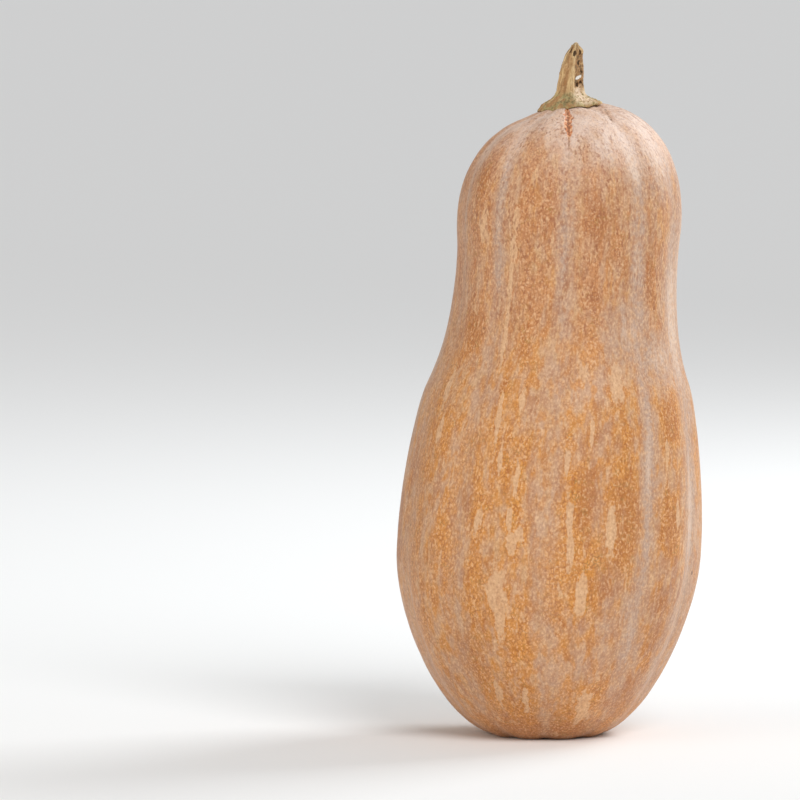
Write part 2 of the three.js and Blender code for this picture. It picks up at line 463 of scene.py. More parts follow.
    def crease(self, x: float, y: float) -> float:
        """Measures the thin crease that runs down from the foot of the stem to the right.

        Args:
            x: Place across, from the axis of the neck.
            y: Place along the depth.

        Returns:
            How far into the crease the place is, from 0 to 1.
        """
        start, end = Vector(self.crease_ends[0]), Vector(self.crease_ends[1])
        along = (Vector((x, y)) - start).dot(end - start) / (end - start).length_squared
        if not 0 <= along <= 1:
            return 0.0
        nearest = start + (end - start) * along
        away = math.hypot(x - nearest.x, y - nearest.y - 0.6 * math.sin(along * 9))
        return (1 - ease(away, 0.15, 0.95)) * ease(along, 0, 0.08) * (1 - ease(along, 0.7, 1))

    def relief(self, turn: float, point: Vector) -> float:
        """Adds up the uneven growth of the skin, which is finer than the lobes.

        Args:
            turn: The turn in radians.
            point: The outline's point, as radius and height.

        Returns:
            How far the skin stands out, in millimetres.
        """
        x, y = direction(turn)
        x, y, z = x * point.x, y * point.x, point.y
        broad = 0.34 * ripple(x, y, z * 0.6, 24)
        ridged = 0.16 * ripple(x + 90, y, z * 0.22, 6.5)
        fine = 0.05 * ripple(x, y + 70, z * 0.5, 2.6)
        return (broad + ridged + fine) * ease(point.x, 6, 22)

    def skin_point(self, turn: float, row: int, detailed: bool = True) -> Vector:
        """Places a point of the skin.

        Args:
            turn: The turn in radians.
            row: The outline's point.
            detailed: Whether the relief, the split and the crease are put in.

        Returns:
            The place in millimetres, from the middle of the base.
        """
        point, outward = self.outline.points[row], self.outline.outward[row]
        clear = ease(point.x, 2, 18)
        stray = self.wander(point.y, turn) if detailed else 0.0
        out = -self.groove_depth(point.y) * (1 - self.lobe(turn + stray)) * clear
        for size, waves, start, step, begin in self.lumps:
            lump = size * math.cos(waves * turn + start) * math.sin(point.y / step + begin)
            out += lump * clear * ease(point.y, 2, 30)
        if detailed:
            x, y = direction(turn)
            out += self.relief(turn, point) * ease(point.y, 2, 14)
            out -= self.crack(turn, point.x, point.y)[0]
            if point.y > 255:
                out -= 0.3 * self.crease(x * point.x, y * point.x)
        radius = point.x + out * outward.x
        rise = self.shoulder_rise[0] * math.sin(turn) - self.shoulder_rise[1] * math.cos(turn)
        rise *= ease(point.y, 225, 275) * ease(point.x, 0, 26)
        return Vector((
            radius * math.sin(turn) + self.lean * ease(point.y, *self.lean_heights),
            -radius * math.cos(turn) * self.depth_share,
            max(point.y + out * outward.y + rise, 0.0),
        ))

    def settle(self, body: bmesh.types.BMesh) -> None:
        """Fits the finished skin to the box of the solid it stands for.

        Args:
            body: The skin, in millimetres from the middle of the base.
        """
        low, high = (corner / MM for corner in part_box("fruit"))
        places = np.array([vert.co for vert in body.verts])
        least, most = places.min(axis=0), places.max(axis=0)
        self.share = Vector((high - low)[i] / float(most[i] - least[i]) for i in range(3))
        self.shift = Vector(low[i] - float(least[i]) * self.share[i] for i in range(3))

    def in_scene(self, place: Vector) -> Vector:
        """Puts a place of the fruit or the stem into the scene's frame.

        Args:
            place: The place in millimetres, from the middle of the base.

        Returns:
            The place in metres.
        """
        return Vector(place[i] * self.share[i] + self.shift[i] for i in range(3)) * MM

    def build(self) -> tuple[bpy.types.Object, BVHTree]:
        """Makes the fruit.

        Returns:
            The fruit's object, and its skin as a tree that the stem is set on.
        """
        body = self.outline.spun(self.segments)
        row_layer = body.verts.layers.float["row"]
        turns, rows = [], []
        for vert in body.verts:
            on_axis = math.hypot(vert.co.x, vert.co.y) < 1e-4
            turns.append(0.0 if on_axis else math.atan2(vert.co.x, -vert.co.y))
            rows.append(round(vert[row_layer]))
        for vert, turn, row in zip(body.verts, turns, rows):
            vert.co = self.skin_point(turn, row)
        self.settle(body)
        for vert in body.verts:
            vert.co = self.in_scene(vert.co)
        skin = BVHTree.FromBMesh(body)
        piece = finished_object("squash_fruit", body)
        self.dress(piece, turns, rows)
        return piece, skin

    def dress(self, piece: bpy.types.Object, turns: list[float], rows: list[int]) -> None:
        """Writes what the finish reads into the fruit's attributes.

        Args:
            piece: The fruit.
            turns: Each vertex's turn.
            rows: Each vertex's place on the outline.
        """
        radii = np.array([self.outline.points[row].x for row in rows])
        heights = np.array([self.outline.points[row].y for row in rows])
        along = np.array([self.outline.lengths[row] for row in rows])
        angles = np.array(turns)
        spread = 18 + 0.62 * radii
        growth = np.stack([spread * np.sin(angles), -spread * np.cos(angles), along], axis=1) * MM
        write_attribute(piece, "growth", growth)
        valley = [
            1 - self.lobe(turn + self.wander(height, turn)) for turn, height in zip(turns, heights)
        ]
        write_attribute(piece, "valley", np.array(valley) * ease_all(radii, 3, 16))
        sets = {"ochre": OCHRE_MARKS, "brown": BROWN_MARKS, "pale": PALE_MARKS, "bloom": BLOOM_MARKS}
        for name, marks in sets.items():
            write_attribute(piece, name, marks.nearness(angles, heights))
        splits = [
            self.crack(turn, radius, height) for turn, radius, height in zip(turns, radii, heights)
        ]
        creases = [
            self.crease(radius * math.sin(turn), -radius * math.cos(turn)) if height > 255 else 0.0
            for turn, radius, height in zip(turns, radii, heights)
        ]
        write_attribute(piece, "flesh", np.array([split[1] for split in splits]))
        write_attribute(piece, "line", np.maximum([split[2] for split in splits], creases))
        scar = (1 - ease_all(radii, 2.5, 7.5)) * (heights < 100)
        write_attribute(piece, "scar", scar)


# The stem.


@dataclass(frozen=True)
class Spot:
    """A small spot on the stem: its turn in degrees, how far it is below the rim, and its size.

    A flat spot is wider than it is high, and a tilted one rises to the right.
    """

    turn: float
    below: float
    size: float
    flatness: float = 1.0
    tilt: float = 0.0


@dataclass
class Stem:
    """The stem: a ridged shaft on a spread foot, with a torn cut at its tip."""

    fruit: Fruit
    height: float = 26.3
    sunk: float = 3.0
    foot_radius: float = 14.6
    foot_thickness: float = 2.1
    foot_depth_share: float = 0.84
    foot_overhang: float = 1.5
    waist_radius: float = 6.0
    waist_height: float = 7.6
    tip_radius: float = 3.3
    tip_rounding: float = 0.5
    lean: tuple[float, float] = (2.2, 0.9)
    ridges: int = 5
    ridge_turn: float = math.radians(-1)
    ridge_height: float = 1.0
    ridge_left_at_tip: float = 0.35
    ridge_twist: float = math.radians(8)
    toes: int = 10
    toe_turn: float = math.radians(14)
    toe_length: float = 0.8
    cut_slope: tuple[float, float] = (0.3, 0.3)
    cut_dome: float = 0.5
    press: float = 0.12
    pits: tuple[Spot, ...] = (
        Spot(-46, 1.8, 1.2), Spot(6, 3.0, 1.6), Spot(52, 3.6, 1.2), Spot(46, 8.2, 1.4, 0.8),
        Spot(68, 12.2, 1.1), Spot(36, 17.6, 1.3), Spot(62, 16.6, 1.0), Spot(-150, 1.5, 0.9),
    )
    # The chip is pale cork and partly a painted highlight.
    chip_and_glint: Spot = Spot(43, 14.4, 2.5, 2.2, 0.3)
    segments: int = 240
    outline: Outline = field(init=False)
    rim_length: float = field(init=False)

    def __post_init__(self) -> None:
        """Draws the outline from the sizes."""
        neck_of_foot = self.foot_radius - self.foot_overhang
        under = (neck_of_foot, 0.5)
        rim = (self.foot_radius, 1.0)
        lip = (self.foot_radius - 0.9, self.foot_thickness)
        waist = (self.waist_radius, self.waist_height)
        tip = (self.tip_radius, self.height)
        self.outline = Outline((
            Stretch((0.0, -self.sunk), (4, 0), (-4, 0), (neck_of_foot, -self.sunk), 3),
            Stretch((neck_of_foot, -self.sunk), (0, 1), (0, -1), under, 6),
            Stretch(under, (0.4, 0.1), (-0.4, -0.1), rim, 5),
            Stretch(rim, (0.3, 0.5), (0.5, 0), lip, 7),
            Stretch(lip, (-4.5, 0.9), (0, -3.2), waist, 28),
            Stretch(waist, (0, 6), (1.3, -4.5), tip, 52),
            Stretch(tip, (-1, 0.1), (1, 0), (0.0, self.height), 14),
        ))
        self.rim_length = self.outline.lengths[-15]

    @staticmethod
    def ridge(turn: float, count: int, first: float) -> float:
        """Says how far up one of some even ridges a turn is.

        Args:
            turn: The turn in radians.
            count: How many ridges there are.
            first: The turn of one of them.

        Returns:
            0 in a hollow and 1 on a ridge.
        """
        return 1 - abs(math.sin(count * (turn - first) / 2)) ** 0.9

    def shaft_ridge(self, turn: float, height: float) -> float:
        """Says how far up one of the shaft's twisted ridges a place is.

        Args:
            turn: The turn in radians.
            height: The height over the skin.

        Returns:
            0 in a hollow and 1 on a ridge.
        """
        twist = self.ridge_twist * height / self.height
        return self.ridge(turn, self.ridges, self.ridge_turn + twist)

    def toe(self, turn: float) -> float:
        """Says how far along one of the foot's uneven toes a turn is, from 0 to 1."""
        return self.ridge(turn, self.toes, self.toe_turn + 0.07 * math.sin(3 * turn + 1))

    def cork(self, turn: float, radius: float, height: float) -> float:
        """Adds up the stem's dry fibres and corky lumps.

        Args:
            turn: The turn in radians.
            radius: The distance from the stem's axis.
            height: The height over the skin.

        Returns:
            How far the surface stands out, in millimetres.
        """
        x, y = (part * radius for part in direction(turn))
        strands = 0.34 * ripple(x, y, height * 0.16, 1.3)
        lumps = 0.42 * ripple(x + 40, y, height * 0.8, 2.9)
        grit = 0.17 * ripple(x, y + 30, height, 0.85)
        return strands + lumps + grit

    def rotten_side(self, turn: float, height: float) -> float:
        """Says how much of the dark corky recess on the right of the shaft is at a place.

        Args:
            turn: The turn in radians.
            height: The height over the skin.

        Returns:
            A number from 0 to 1.
        """
        away = abs((turn - math.radians(52) + math.pi) % FULL_TURN - math.pi)
        return (1 - ease(away, 0.5, 0.8)) * ease(height, 6.5, 9.5) * (1 - ease(height, 19.5, 23.5))

    def near_spot(self, turn: float, row: int, spot: Spot) -> float:
        """Says how far into a small spot of the surface a place is.

        Args:
            turn: The turn in radians.
            row: The outline's point.
            spot: The spot.

        Returns:
            A number from 0 to 1.
        """
        radius, height = self.outline.points[row]
        below = self.rim_length - self.outline.lengths[row]
        if height < 4:
            return 0.0
        away = (turn - math.radians(spot.turn) + math.pi) % FULL_TURN - math.pi
        x, y = direction(turn)
        aside = radius * away
        apart = math.hypot(aside, (below - spot.below + spot.tilt * aside) * spot.flatness)
        apart += 0.5 * ripple(x * radius, y * radius, height, 0.9)
        return 1 - ease(apart, 0.35 * spot.size, 1.1 * spot.size)

    def pitted(self, turn: float, row: int) -> float:
        """Says how far into one of the dark pits a place is, from 0 to 1."""
        return max(self.near_spot(turn, row, pit) for pit in self.pits)

    def droop(self, turn: float) -> float:
        """Says how far the foot's lip hangs down at a turn, in millimetres."""
        x, y = direction(turn)
        lifted = 0.6 * ease(math.sin(turn - 0.1), 0.0, 0.5)
        return 0.72 + 0.5 * ripple(x * 9, y * 9, 3.0, 4.5) - lifted

    def local_place(self, turn: float, row: int) -> Vector:
        """Places a point of the surface against the stem's own upright axis.

        Args:
            turn: The turn in radians.
            row: The outline's point.

        Returns:
            The place across, along the depth, and over the skin.
        """
        radius, height = self.outline.points[row]
        on_foot = ease(radius, self.waist_radius + 1, self.foot_radius) * (1 - ease(height, 5, 9))
        on_shaft = 1 - ease(radius, self.waist_radius + 2, self.foot_radius)
        edge = ease(radius, 0.5, self.tip_radius)
        fade = 1 + (self.ridge_left_at_tip - 1) * ease(height, self.waist_height, self.height)
        reach = radius + self.toe_length * (self.toe(turn) - 0.7) * on_foot
        reach += self.ridge_height * fade * (self.shaft_ridge(turn, height) - 0.45) * on_shaft * edge
        if height > 0:
            reach += self.cork(turn, radius, height) * edge * ease(height, 0.4, 1.6)
            reach -= 0.8 * self.rotten_side(turn, height)
            reach *= 1 - self.tip_rounding * ease(height, self.height - 3.8, self.height)
        x, y = (reach * part for part in direction(turn))
        y *= 1 + (self.foot_depth_share - 1) * (1 - on_shaft)
        height -= self.droop(turn) * ease(radius, 12.4, 14.2) * (1 - ease(height, 1.8, 3.5))
        pit = self.pitted(turn, row)
        inward = 1 - 0.8 * pit / max(reach, 0.8)
        lift = 0.5 * ripple(x + 11, y, height * 0.5, 1.1) * ease(height, 1.0, 2.2) * on_foot
        return Vector((x * inward, y * inward, height + lift - 0.5 * pit * (1 - edge)))

    def surface_point(self, turn: float, row: int, skin: BVHTree) -> Vector:
        """Places a point of the stem's surface.

        Args:
            turn: The turn in radians.
            row: The outline's point.
            skin: The fruit's skin.

        Returns:
            The place in metres.
        """
        x, y, height = self.local_place(turn, row)
        edge = ease(self.outline.points[row].x, 0.5, self.tip_radius)
        bend = (max(height, 0.0) / self.height) ** 1.5
        near_tip = ease(height, self.waist_height + 4, self.height)
        cut = (self.cut_slope[0] * x + self.cut_slope[1] * y + self.cut_dome * (1 - edge)) * near_tip
        torn = 0.5 * ripple(x, y, 5.0, 1.4) * ease(height, self.height - 2.5, self.height)
        place = self.fruit.in_scene(Vector((
            x + self.fruit.lean + self.lean[0] * bend,
            y * self.fruit.depth_share + self.lean[1] * bend,
            self.fruit.top,
        )))
        hit = skin.ray_cast(Vector((place.x, place.y, 1.0)), Vector((0, 0, -1)))[0]
        seat = self.fruit.top * MM
        if hit is not None:
            seat += (hit.z - seat) * (1 - ease(height, 0, self.waist_height))
        place.z = seat + (height + cut + torn - self.press) * MM
        return place

    def build(self, skin: BVHTree) -> bpy.types.Object:
        """Makes the stem on the fruit's skin.

        Args:
            skin: The fruit's skin.

        Returns:
            The stem's object.
        """
        body = self.outline.spun(self.segments)
        row_layer = body.verts.layers.float["row"]
        turns, rows = [], []
        for vert in body.verts:
            on_axis = math.hypot(vert.co.x, vert.co.y) < 1e-4
            turns.append(0.0 if on_axis else math.atan2(vert.co.x, -vert.co.y))
            rows.append(round(vert[row_layer]))
        for vert, turn, row in zip(body.verts, turns, rows):
            vert.co = self.surface_point(turn, row, skin)
        self.trim_to_box(body)
        piece = finished_object("squash_stem", body)
        self.dress(piece, turns, rows)
        return piece

    def trim_to_box(self, body: bmesh.types.BMesh) -> None:
        """Keeps the tip at the height of the solid that the stem stands for.

        Args:
            body: The stem, in metres.
        """
        seat = self.fruit.top * MM
        highest = max(vert.co.z for vert in body.verts)
        share = (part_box("stem")[1].z - seat) / (highest - seat)
        for vert in body.verts:
            if vert.co.z > seat:
                vert.co.z = seat + (vert.co.z - seat) * share

    def dress(self, piece: bpy.types.Object, turns: list[float], rows: list[int]) -> None:
        """Writes what the finish reads into the stem's attributes.

        Args:
            piece: The stem.
            turns: Each vertex's turn.
            rows: Each vertex's place on the outline.
        """
        values: dict[str, list[float]] = {
            name: []
            for name in ("crest", "foot", "cut", "rot", "pit", "chip_and_glint", "under", "pale_lit_band", "mossy")
        }
        for turn, row in zip(turns, rows):
            radius, height = self.outline.points[row]
            on_foot = ease(radius, self.waist_radius + 0.6, self.waist_radius + 4)
            crest = self.shaft_ridge(turn, height) * (1 - on_foot) + self.toe(turn) * on_foot
            values["crest"].append(crest * (1 - 0.8 * self.rotten_side(turn, height)))
            values["foot"].append(1 - ease(height, 1.5, 8.5))
            values["cut"].append((1 - ease(radius, 1.6, self.tip_radius)) * (height > 20))
            values["rot"].append(self.rotten_side(turn, height))
            values["pit"].append(self.pitted(turn, row))
            # The chip: partly a painted highlight.
            values["chip_and_glint"].append(self.near_spot(turn, row, self.chip_and_glint))
            # Painted shade: marks the underside of the foot's lip, which is painted dark.
            values["under"].append(1 - ease(height, 0.75, 1.35))
            # Painted light: a pale band on the right of the foot, the side that faces the key lamp.
            aside = abs(math.degrees(turn) - 42)
            pale_lit_band = (1 - ease(aside, 14, 44)) * ease(height, 1.4, 2.6) * (1 - ease(height, 6, 11))
            values["pale_lit_band"].append(pale_lit_band)
            mossy = 1 - ease(abs(math.degrees(turn) + 8), 10, 34)
            values["mossy"].append(mossy * ease(height, 0.9, 1.7) * (1 - ease(height, 3.5, 6.5)))
        for name, numbers in values.items():
            write_attribute(piece, name, np.array(numbers))
        along = np.array([self.outline.lengths[row] for row in rows])
        angles = np.array(turns)
        growth = np.stack([7 * np.sin(angles), -7 * np.cos(angles), along], axis=1) * MM
        write_attribute(piece, "growth", growth)


# Meshes and attributes.


def finished_object(name: str, body: bmesh.types.BMesh) -> bpy.types.Object:
    """Turns a finished bmesh into a smooth-shaded object of the scene.

    Args:
        name: The object's name.
        body: The bmesh, in metres. It is freed.

    Returns:
        The object.
    """
    bmesh.ops.recalc_face_normals(body, faces=body.faces)
    for face in body.faces:
        face.smooth = True
    mesh = bpy.data.meshes.new(name)
    body.to_mesh(mesh)
    body.free()
    piece = bpy.data.objects.new(name, mesh)
    bpy.context.scene.collection.objects.link(piece)
    return piece


def write_attribute(piece: bpy.types.Object, name: str, values: np.ndarray) -> None:
    """Stores numbers or vectors on a piece's vertices.

    Args:
        piece: The object whose mesh gets the attribute.
        name: The attribute's name.
        values: One number or one vector for each vertex.
    """
    kind, key = ("FLOAT_VECTOR", "vector") if values.ndim == 2 else ("FLOAT", "value")
    attribute = piece.data.attributes.new(name, kind, "POINT")
    attribute.data.foreach_set(key, values.astype(np.float32).ravel())


# Nodes.


def paint(red: int, green: int, blue: int) -> tuple[float, float, float, float]:
    """Turns a screen colour into the linear colour that a shader takes.

    Args:
        red: 0 to 255.
        green: 0 to 255.
        blue: 0 to 255.

    Returns:
        The linear colour with full alpha.
    """
    parts = [value / 255 for value in (red, green, blue)]
    linear = [p / 12.92 if p <= 0.04045 else ((p + 0.055) / 1.055) ** 2.4 for p in parts]
    return linear[0], linear[1], linear[2], 1.0


Socket = bpy.types.NodeSocket
Value = Socket | float | tuple


class Wiring:
    """Adds nodes to one node tree and joins them up."""

    def __init__(self, tree: bpy.types.NodeTree) -> None:
        """Takes the tree that the nodes go into.

        Args:
            tree: A material's or a group's node tree.
        """
        self.tree = tree

    def put(self, socket: Socket, value: Value) -> None:
        """Feeds an input from another node or with a constant.

        Args:
            socket: The input.
            value: An output to link, or a constant.
        """
        if isinstance(value, bpy.types.NodeSocket):
            self.tree.links.new(value, socket)
        else:
            socket.default_value = value

    def node(self, kind: str, **settings: object) -> bpy.types.Node:
        """Adds a node.

        Args:
            kind: Blender's name for the kind of node.
            **settings: The node's own properties.

        Returns:
            The node.
        """
        made = self.tree.nodes.new(kind)
        for name, value in settings.items():
            setattr(made, name, value)
        return made

    def attribute(self, name: str) -> bpy.types.Node:
        """Reads an attribute of the piece."""
        return self.node("ShaderNodeAttribute", attribute_type="GEOMETRY", attribute_name=name)

    def math(self, operation: str, *numbers: Value) -> Socket:
        """Does one sum.

        Args:
            operation: Blender's name for the sum.
            *numbers: Its two or three numbers.

        Returns:
            The result.
        """
        made = self.node("ShaderNodeMath", operation=operation)
        for socket, number in zip(made.inputs, numbers):
            self.put(socket, number)
        return made.outputs[0]

    def bent(self, vector: Value, size: float, reach: float) -> Socket:
        """Bends a place to and fro, so that a pattern read there grows unevenly.

        Args:
            vector: The place.
            size: How wide the bends are, in metres.
            reach: How far they go, in metres.

        Returns:
            The bent place.
        """
        cloud = self.node("ShaderNodeTexNoise")
        self.put(cloud.inputs["Vector"], vector)
        self.put(cloud.inputs["Scale"], 1.0 / size)
        self.put(cloud.inputs["Detail"], 2.0)
        made = self.node("ShaderNodeVectorMath", operation="MULTIPLY_ADD")
        self.put(made.inputs[0], cloud.outputs["Color"])
        self.put(made.inputs[1], (2 * reach, 2 * reach, 2 * reach))
        self.put(made.inputs[2], vector)
        return made.outputs[0]

    def rise(self, value: Value, low: float, high: float, top: Value = 1.0) -> Socket:
        """Rises smoothly from 0 between two values, or falls where low is above high.

        Args:
            value: Where to read the rise.
            low: Where it is 0.
            high: Where it is full.
            top: The full value.

        Returns:
            The result.
        """
        made = self.node("ShaderNodeMapRange", interpolation_type="SMOOTHSTEP")
        backwards = low > high
        self.put(made.inputs["Value"], value)
        self.put(made.inputs["From Min"], high if backwards else low)
        self.put(made.inputs["From Max"], low if backwards else high)
        self.put(made.inputs["To Min"], top if backwards else 0.0)
        self.put(made.inputs["To Max"], 0.0 if backwards else top)
        return made.outputs["Result"]

    def blend(self, amount: Value, under: Value, over: Value) -> Socket:
        """Lays one colour over another.

        Args:
            amount: How much of the upper colour shows.
            under: The lower colour.
            over: The upper colour.

        Returns:
            The mixed colour.
        """
        made = self.node("ShaderNodeMix", data_type="RGBA", clamp_factor=True)
        self.put(made.inputs["Factor"], amount)
        self.put(made.inputs[6], under)
        self.put(made.inputs[7], over)
        return made.outputs[2]

    def stretched(self, vector: Value, along: float, shift: float = 0.0) -> Socket:
        """Draws a pattern out along the direction of growth.

        Args:
            vector: The place.
            along: How many times longer the pattern gets.
            shift: How far the pattern is moved sideways, in metres.

        Returns:
            The place to read the pattern at.
        """
        made = self.node("ShaderNodeMapping", vector_type="POINT")
        self.put(made.inputs["Vector"], vector)
        self.put(made.inputs["Location"], (shift, shift * 0.7, shift * 0.4))
        self.put(made.inputs["Scale"], (1.0, 1.0, 1.0 / along))
        return made.outputs["Vector"]

    def cloud(self, vector: Value, size: float, detail: float = 2.0, rough: float = 0.5) -> Socket:
        """Reads smooth noise.

        Args:
            vector: The place.
            size: About how wide a lump is, in metres.
            detail: How many finer layers are added.
            rough: How strong those layers are.

        Returns:
            A number around 0.5.
        """
        made = self.node("ShaderNodeTexNoise")
        self.put(made.inputs["Vector"], vector)
        self.put(made.inputs["Scale"], 1.0 / size)
        self.put(made.inputs["Detail"], detail)
        self.put(made.inputs["Roughness"], rough)
        return made.outputs["Fac"]

    def effect(self, group: bpy.types.NodeTree, **inputs: Value) -> bpy.types.Node:
        """Places a shared effect.

        Args:
            group: The effect's node group.
            **inputs: Its inputs by name, with _ for a space.

        Returns:
            The group node.
        """
        made = self.node("ShaderNodeGroup", node_tree=group)
        for name, value in inputs.items():
            self.put(made.inputs[name.replace("_", " ")], value)
        return made


class Effects:
    """The effects that the skin and the stem share, each a node group that is built once."""

    def __init__(self) -> None:
        """Builds the groups."""
        self.streaks = self.build_streaks()
        self.cells = self.build_cells()
        self.dust = self.build_dust()

    @staticmethod
    def start(name: str, inputs: dict[str, tuple[str, Value]], outputs: dict[str, str]) -> tuple:
        """Starts a node group with named inputs and outputs.

        Args:
            name: The group's name.
            inputs: Each input's name, with its kind and its usual value.
            outputs: Each output's name, with its kind.

        Returns:
            The group, its wiring, its input node and its output node.
        """
        group = bpy.data.node_groups.new(name, "ShaderNodeTree")
        for label, (kind, usual) in inputs.items():
            socket = group.interface.new_socket(label, in_out="INPUT", socket_type=kind)
            if usual is not None:
                socket.default_value = usual
        for label, kind in outputs.items():
            group.interface.new_socket(label, in_out="OUTPUT", socket_type=kind)
        wiring = Wiring(group)
        return group, wiring, wiring.node("NodeGroupInput"), wiring.node("NodeGroupOutput")

    def build_streaks(self) -> bpy.types.NodeTree:
        """Makes streaks that follow the direction of growth."""
        group, wiring, given, result = self.start(
            "growth_streaks",
            {
                "Vector": ("NodeSocketVector", None),
                "Width": ("NodeSocketFloat", 0.004),
                "Stretch": ("NodeSocketFloat", 6.0),
                "Low": ("NodeSocketFloat", 0.4),
                "High": ("NodeSocketFloat", 0.6),
            },
            {"Mask": "NodeSocketFloat"},
        )
        parts = wiring.node("ShaderNodeSeparateXYZ")
        wiring.put(parts.inputs[0], given.outputs["Vector"])
        placed = wiring.node("ShaderNodeCombineXYZ")
        wiring.put(placed.inputs[0], parts.outputs[0])
        wiring.put(placed.inputs[1], parts.outputs[1])
        wiring.put(placed.inputs[2], wiring.math("DIVIDE", parts.outputs[2], given.outputs["Stretch"]))
        cloud = wiring.node("ShaderNodeTexNoise")
        wiring.put(cloud.inputs["Vector"], placed.outputs[0])
        wiring.put(cloud.inputs["Scale"], wiring.math("DIVIDE", 1.0, given.outputs["Width"]))
        wiring.put(cloud.inputs["Detail"], 3.0)
        wiring.put(cloud.inputs["Roughness"], 0.55)
        mask = wiring.node("ShaderNodeMapRange", interpolation_type="SMOOTHSTEP")
        wiring.put(mask.inputs["Value"], cloud.outputs["Fac"])
        wiring.put(mask.inputs["From Min"], given.outputs["Low"])
        wiring.put(mask.inputs["From Max"], given.outputs["High"])
        wiring.put(result.inputs["Mask"], mask.outputs["Result"])
        return group

    def build_cells(self) -> bpy.types.NodeTree:
        """Makes the fine net of lines round small pale cells."""
        group, wiring, given, result = self.start(
            "skin_cells",
            {
                "Vector": ("NodeSocketVector", None),
                "Size": ("NodeSocketFloat", 0.0014),
                "Stretch": ("NodeSocketFloat", 1.5),
                "Line": ("NodeSocketFloat", 0.2),
            },
            {"Net": "NodeSocketFloat", "Tint": "NodeSocketFloat"},
        )
        parts = wiring.node("ShaderNodeSeparateXYZ")
        wiring.put(parts.inputs[0], given.outputs["Vector"])
        placed = wiring.node("ShaderNodeCombineXYZ")
        wiring.put(placed.inputs[0], parts.outputs[0])
        wiring.put(placed.inputs[1], parts.outputs[1])
        wiring.put(placed.inputs[2], wiring.math("DIVIDE", parts.outputs[2], given.outputs["Stretch"]))
        scale = wiring.math("DIVIDE", 1.0, given.outputs["Size"])
        edges = wiring.node("ShaderNodeTexVoronoi", feature="DISTANCE_TO_EDGE")
        cells = wiring.node("ShaderNodeTexVoronoi", feature="F1")
        for texture in (edges, cells):
            wiring.put(texture.inputs["Vector"], placed.outputs[0])
            wiring.put(texture.inputs["Scale"], scale)
        net = wiring.node("ShaderNodeMapRange", interpolation_type="SMOOTHSTEP")
        wiring.put(net.inputs["Value"], edges.outputs["Distance"])
        wiring.put(net.inputs["From Min"], 0.0)
        wiring.put(net.inputs["From Max"], given.outputs["Line"])
        wiring.put(net.inputs["To Min"], 1.0)
        wiring.put(net.inputs["To Max"], 0.0)
        wiring.put(result.inputs["Net"], net.outputs["Result"])
        tint = wiring.node("ShaderNodeSeparateColor")
        wiring.put(tint.inputs[0], cells.outputs["Color"])
        wiring.put(result.inputs["Tint"], tint.outputs[0])
        return group

    def build_dust(self) -> bpy.types.NodeTree:
        """Makes a thin uneven layer of pale dust over a colour."""
        group, wiring, given, result = self.start(
            "dusty_layer",
            {
                "Color": ("NodeSocketColor", (0.5, 0.5, 0.5, 1.0)),
                "Dust": ("NodeSocketColor", (0.7, 0.6, 0.5, 1.0)),
                "Amount": ("NodeSocketFloat", 0.3),
                "Vector": ("NodeSocketVector", None),
                "Grain": ("NodeSocketFloat", 0.002),
            },
            {"Color": "NodeSocketColor", "Amount": "NodeSocketFloat"},
        )
        cloud = wiring.node("ShaderNodeTexNoise")
        wiring.put(cloud.inputs["Vector"], given.outputs["Vector"])
        wiring.put(cloud.inputs["Scale"], wiring.math("DIVIDE", 1.0, given.outputs["Grain"]))
        wiring.put(cloud.inputs["Detail"], 1.0)
        wiring.put(cloud.inputs["Roughness"], 0.5)
        uneven = wiring.rise(cloud.outputs["Fac"], 0.28, 0.68)
        amount = wiring.math(
            "MULTIPLY", given.outputs["Amount"], wiring.math("MULTIPLY_ADD", uneven, 0.45, 0.52)
        )
        wiring.put(result.inputs["Color"], wiring.blend(amount, given.outputs["Color"], given.outputs["Dust"]))
        wiring.put(result.inputs["Amount"], amount)
        return group


def new_material(name: str) -> tuple[bpy.types.Material, Wiring, bpy.types.Node]:
    """Starts a material.

    Args:
        name: The material's name.

    Returns:
        The material, its wiring and its Principled BSDF.
    """
    material = bpy.data.materials.new(name)
    material.use_nodes = True
    wiring = Wiring(material.node_tree)
    shader = next(node for node in material.node_tree.nodes if node.type == "BSDF_PRINCIPLED")
    return material, wiring, shader


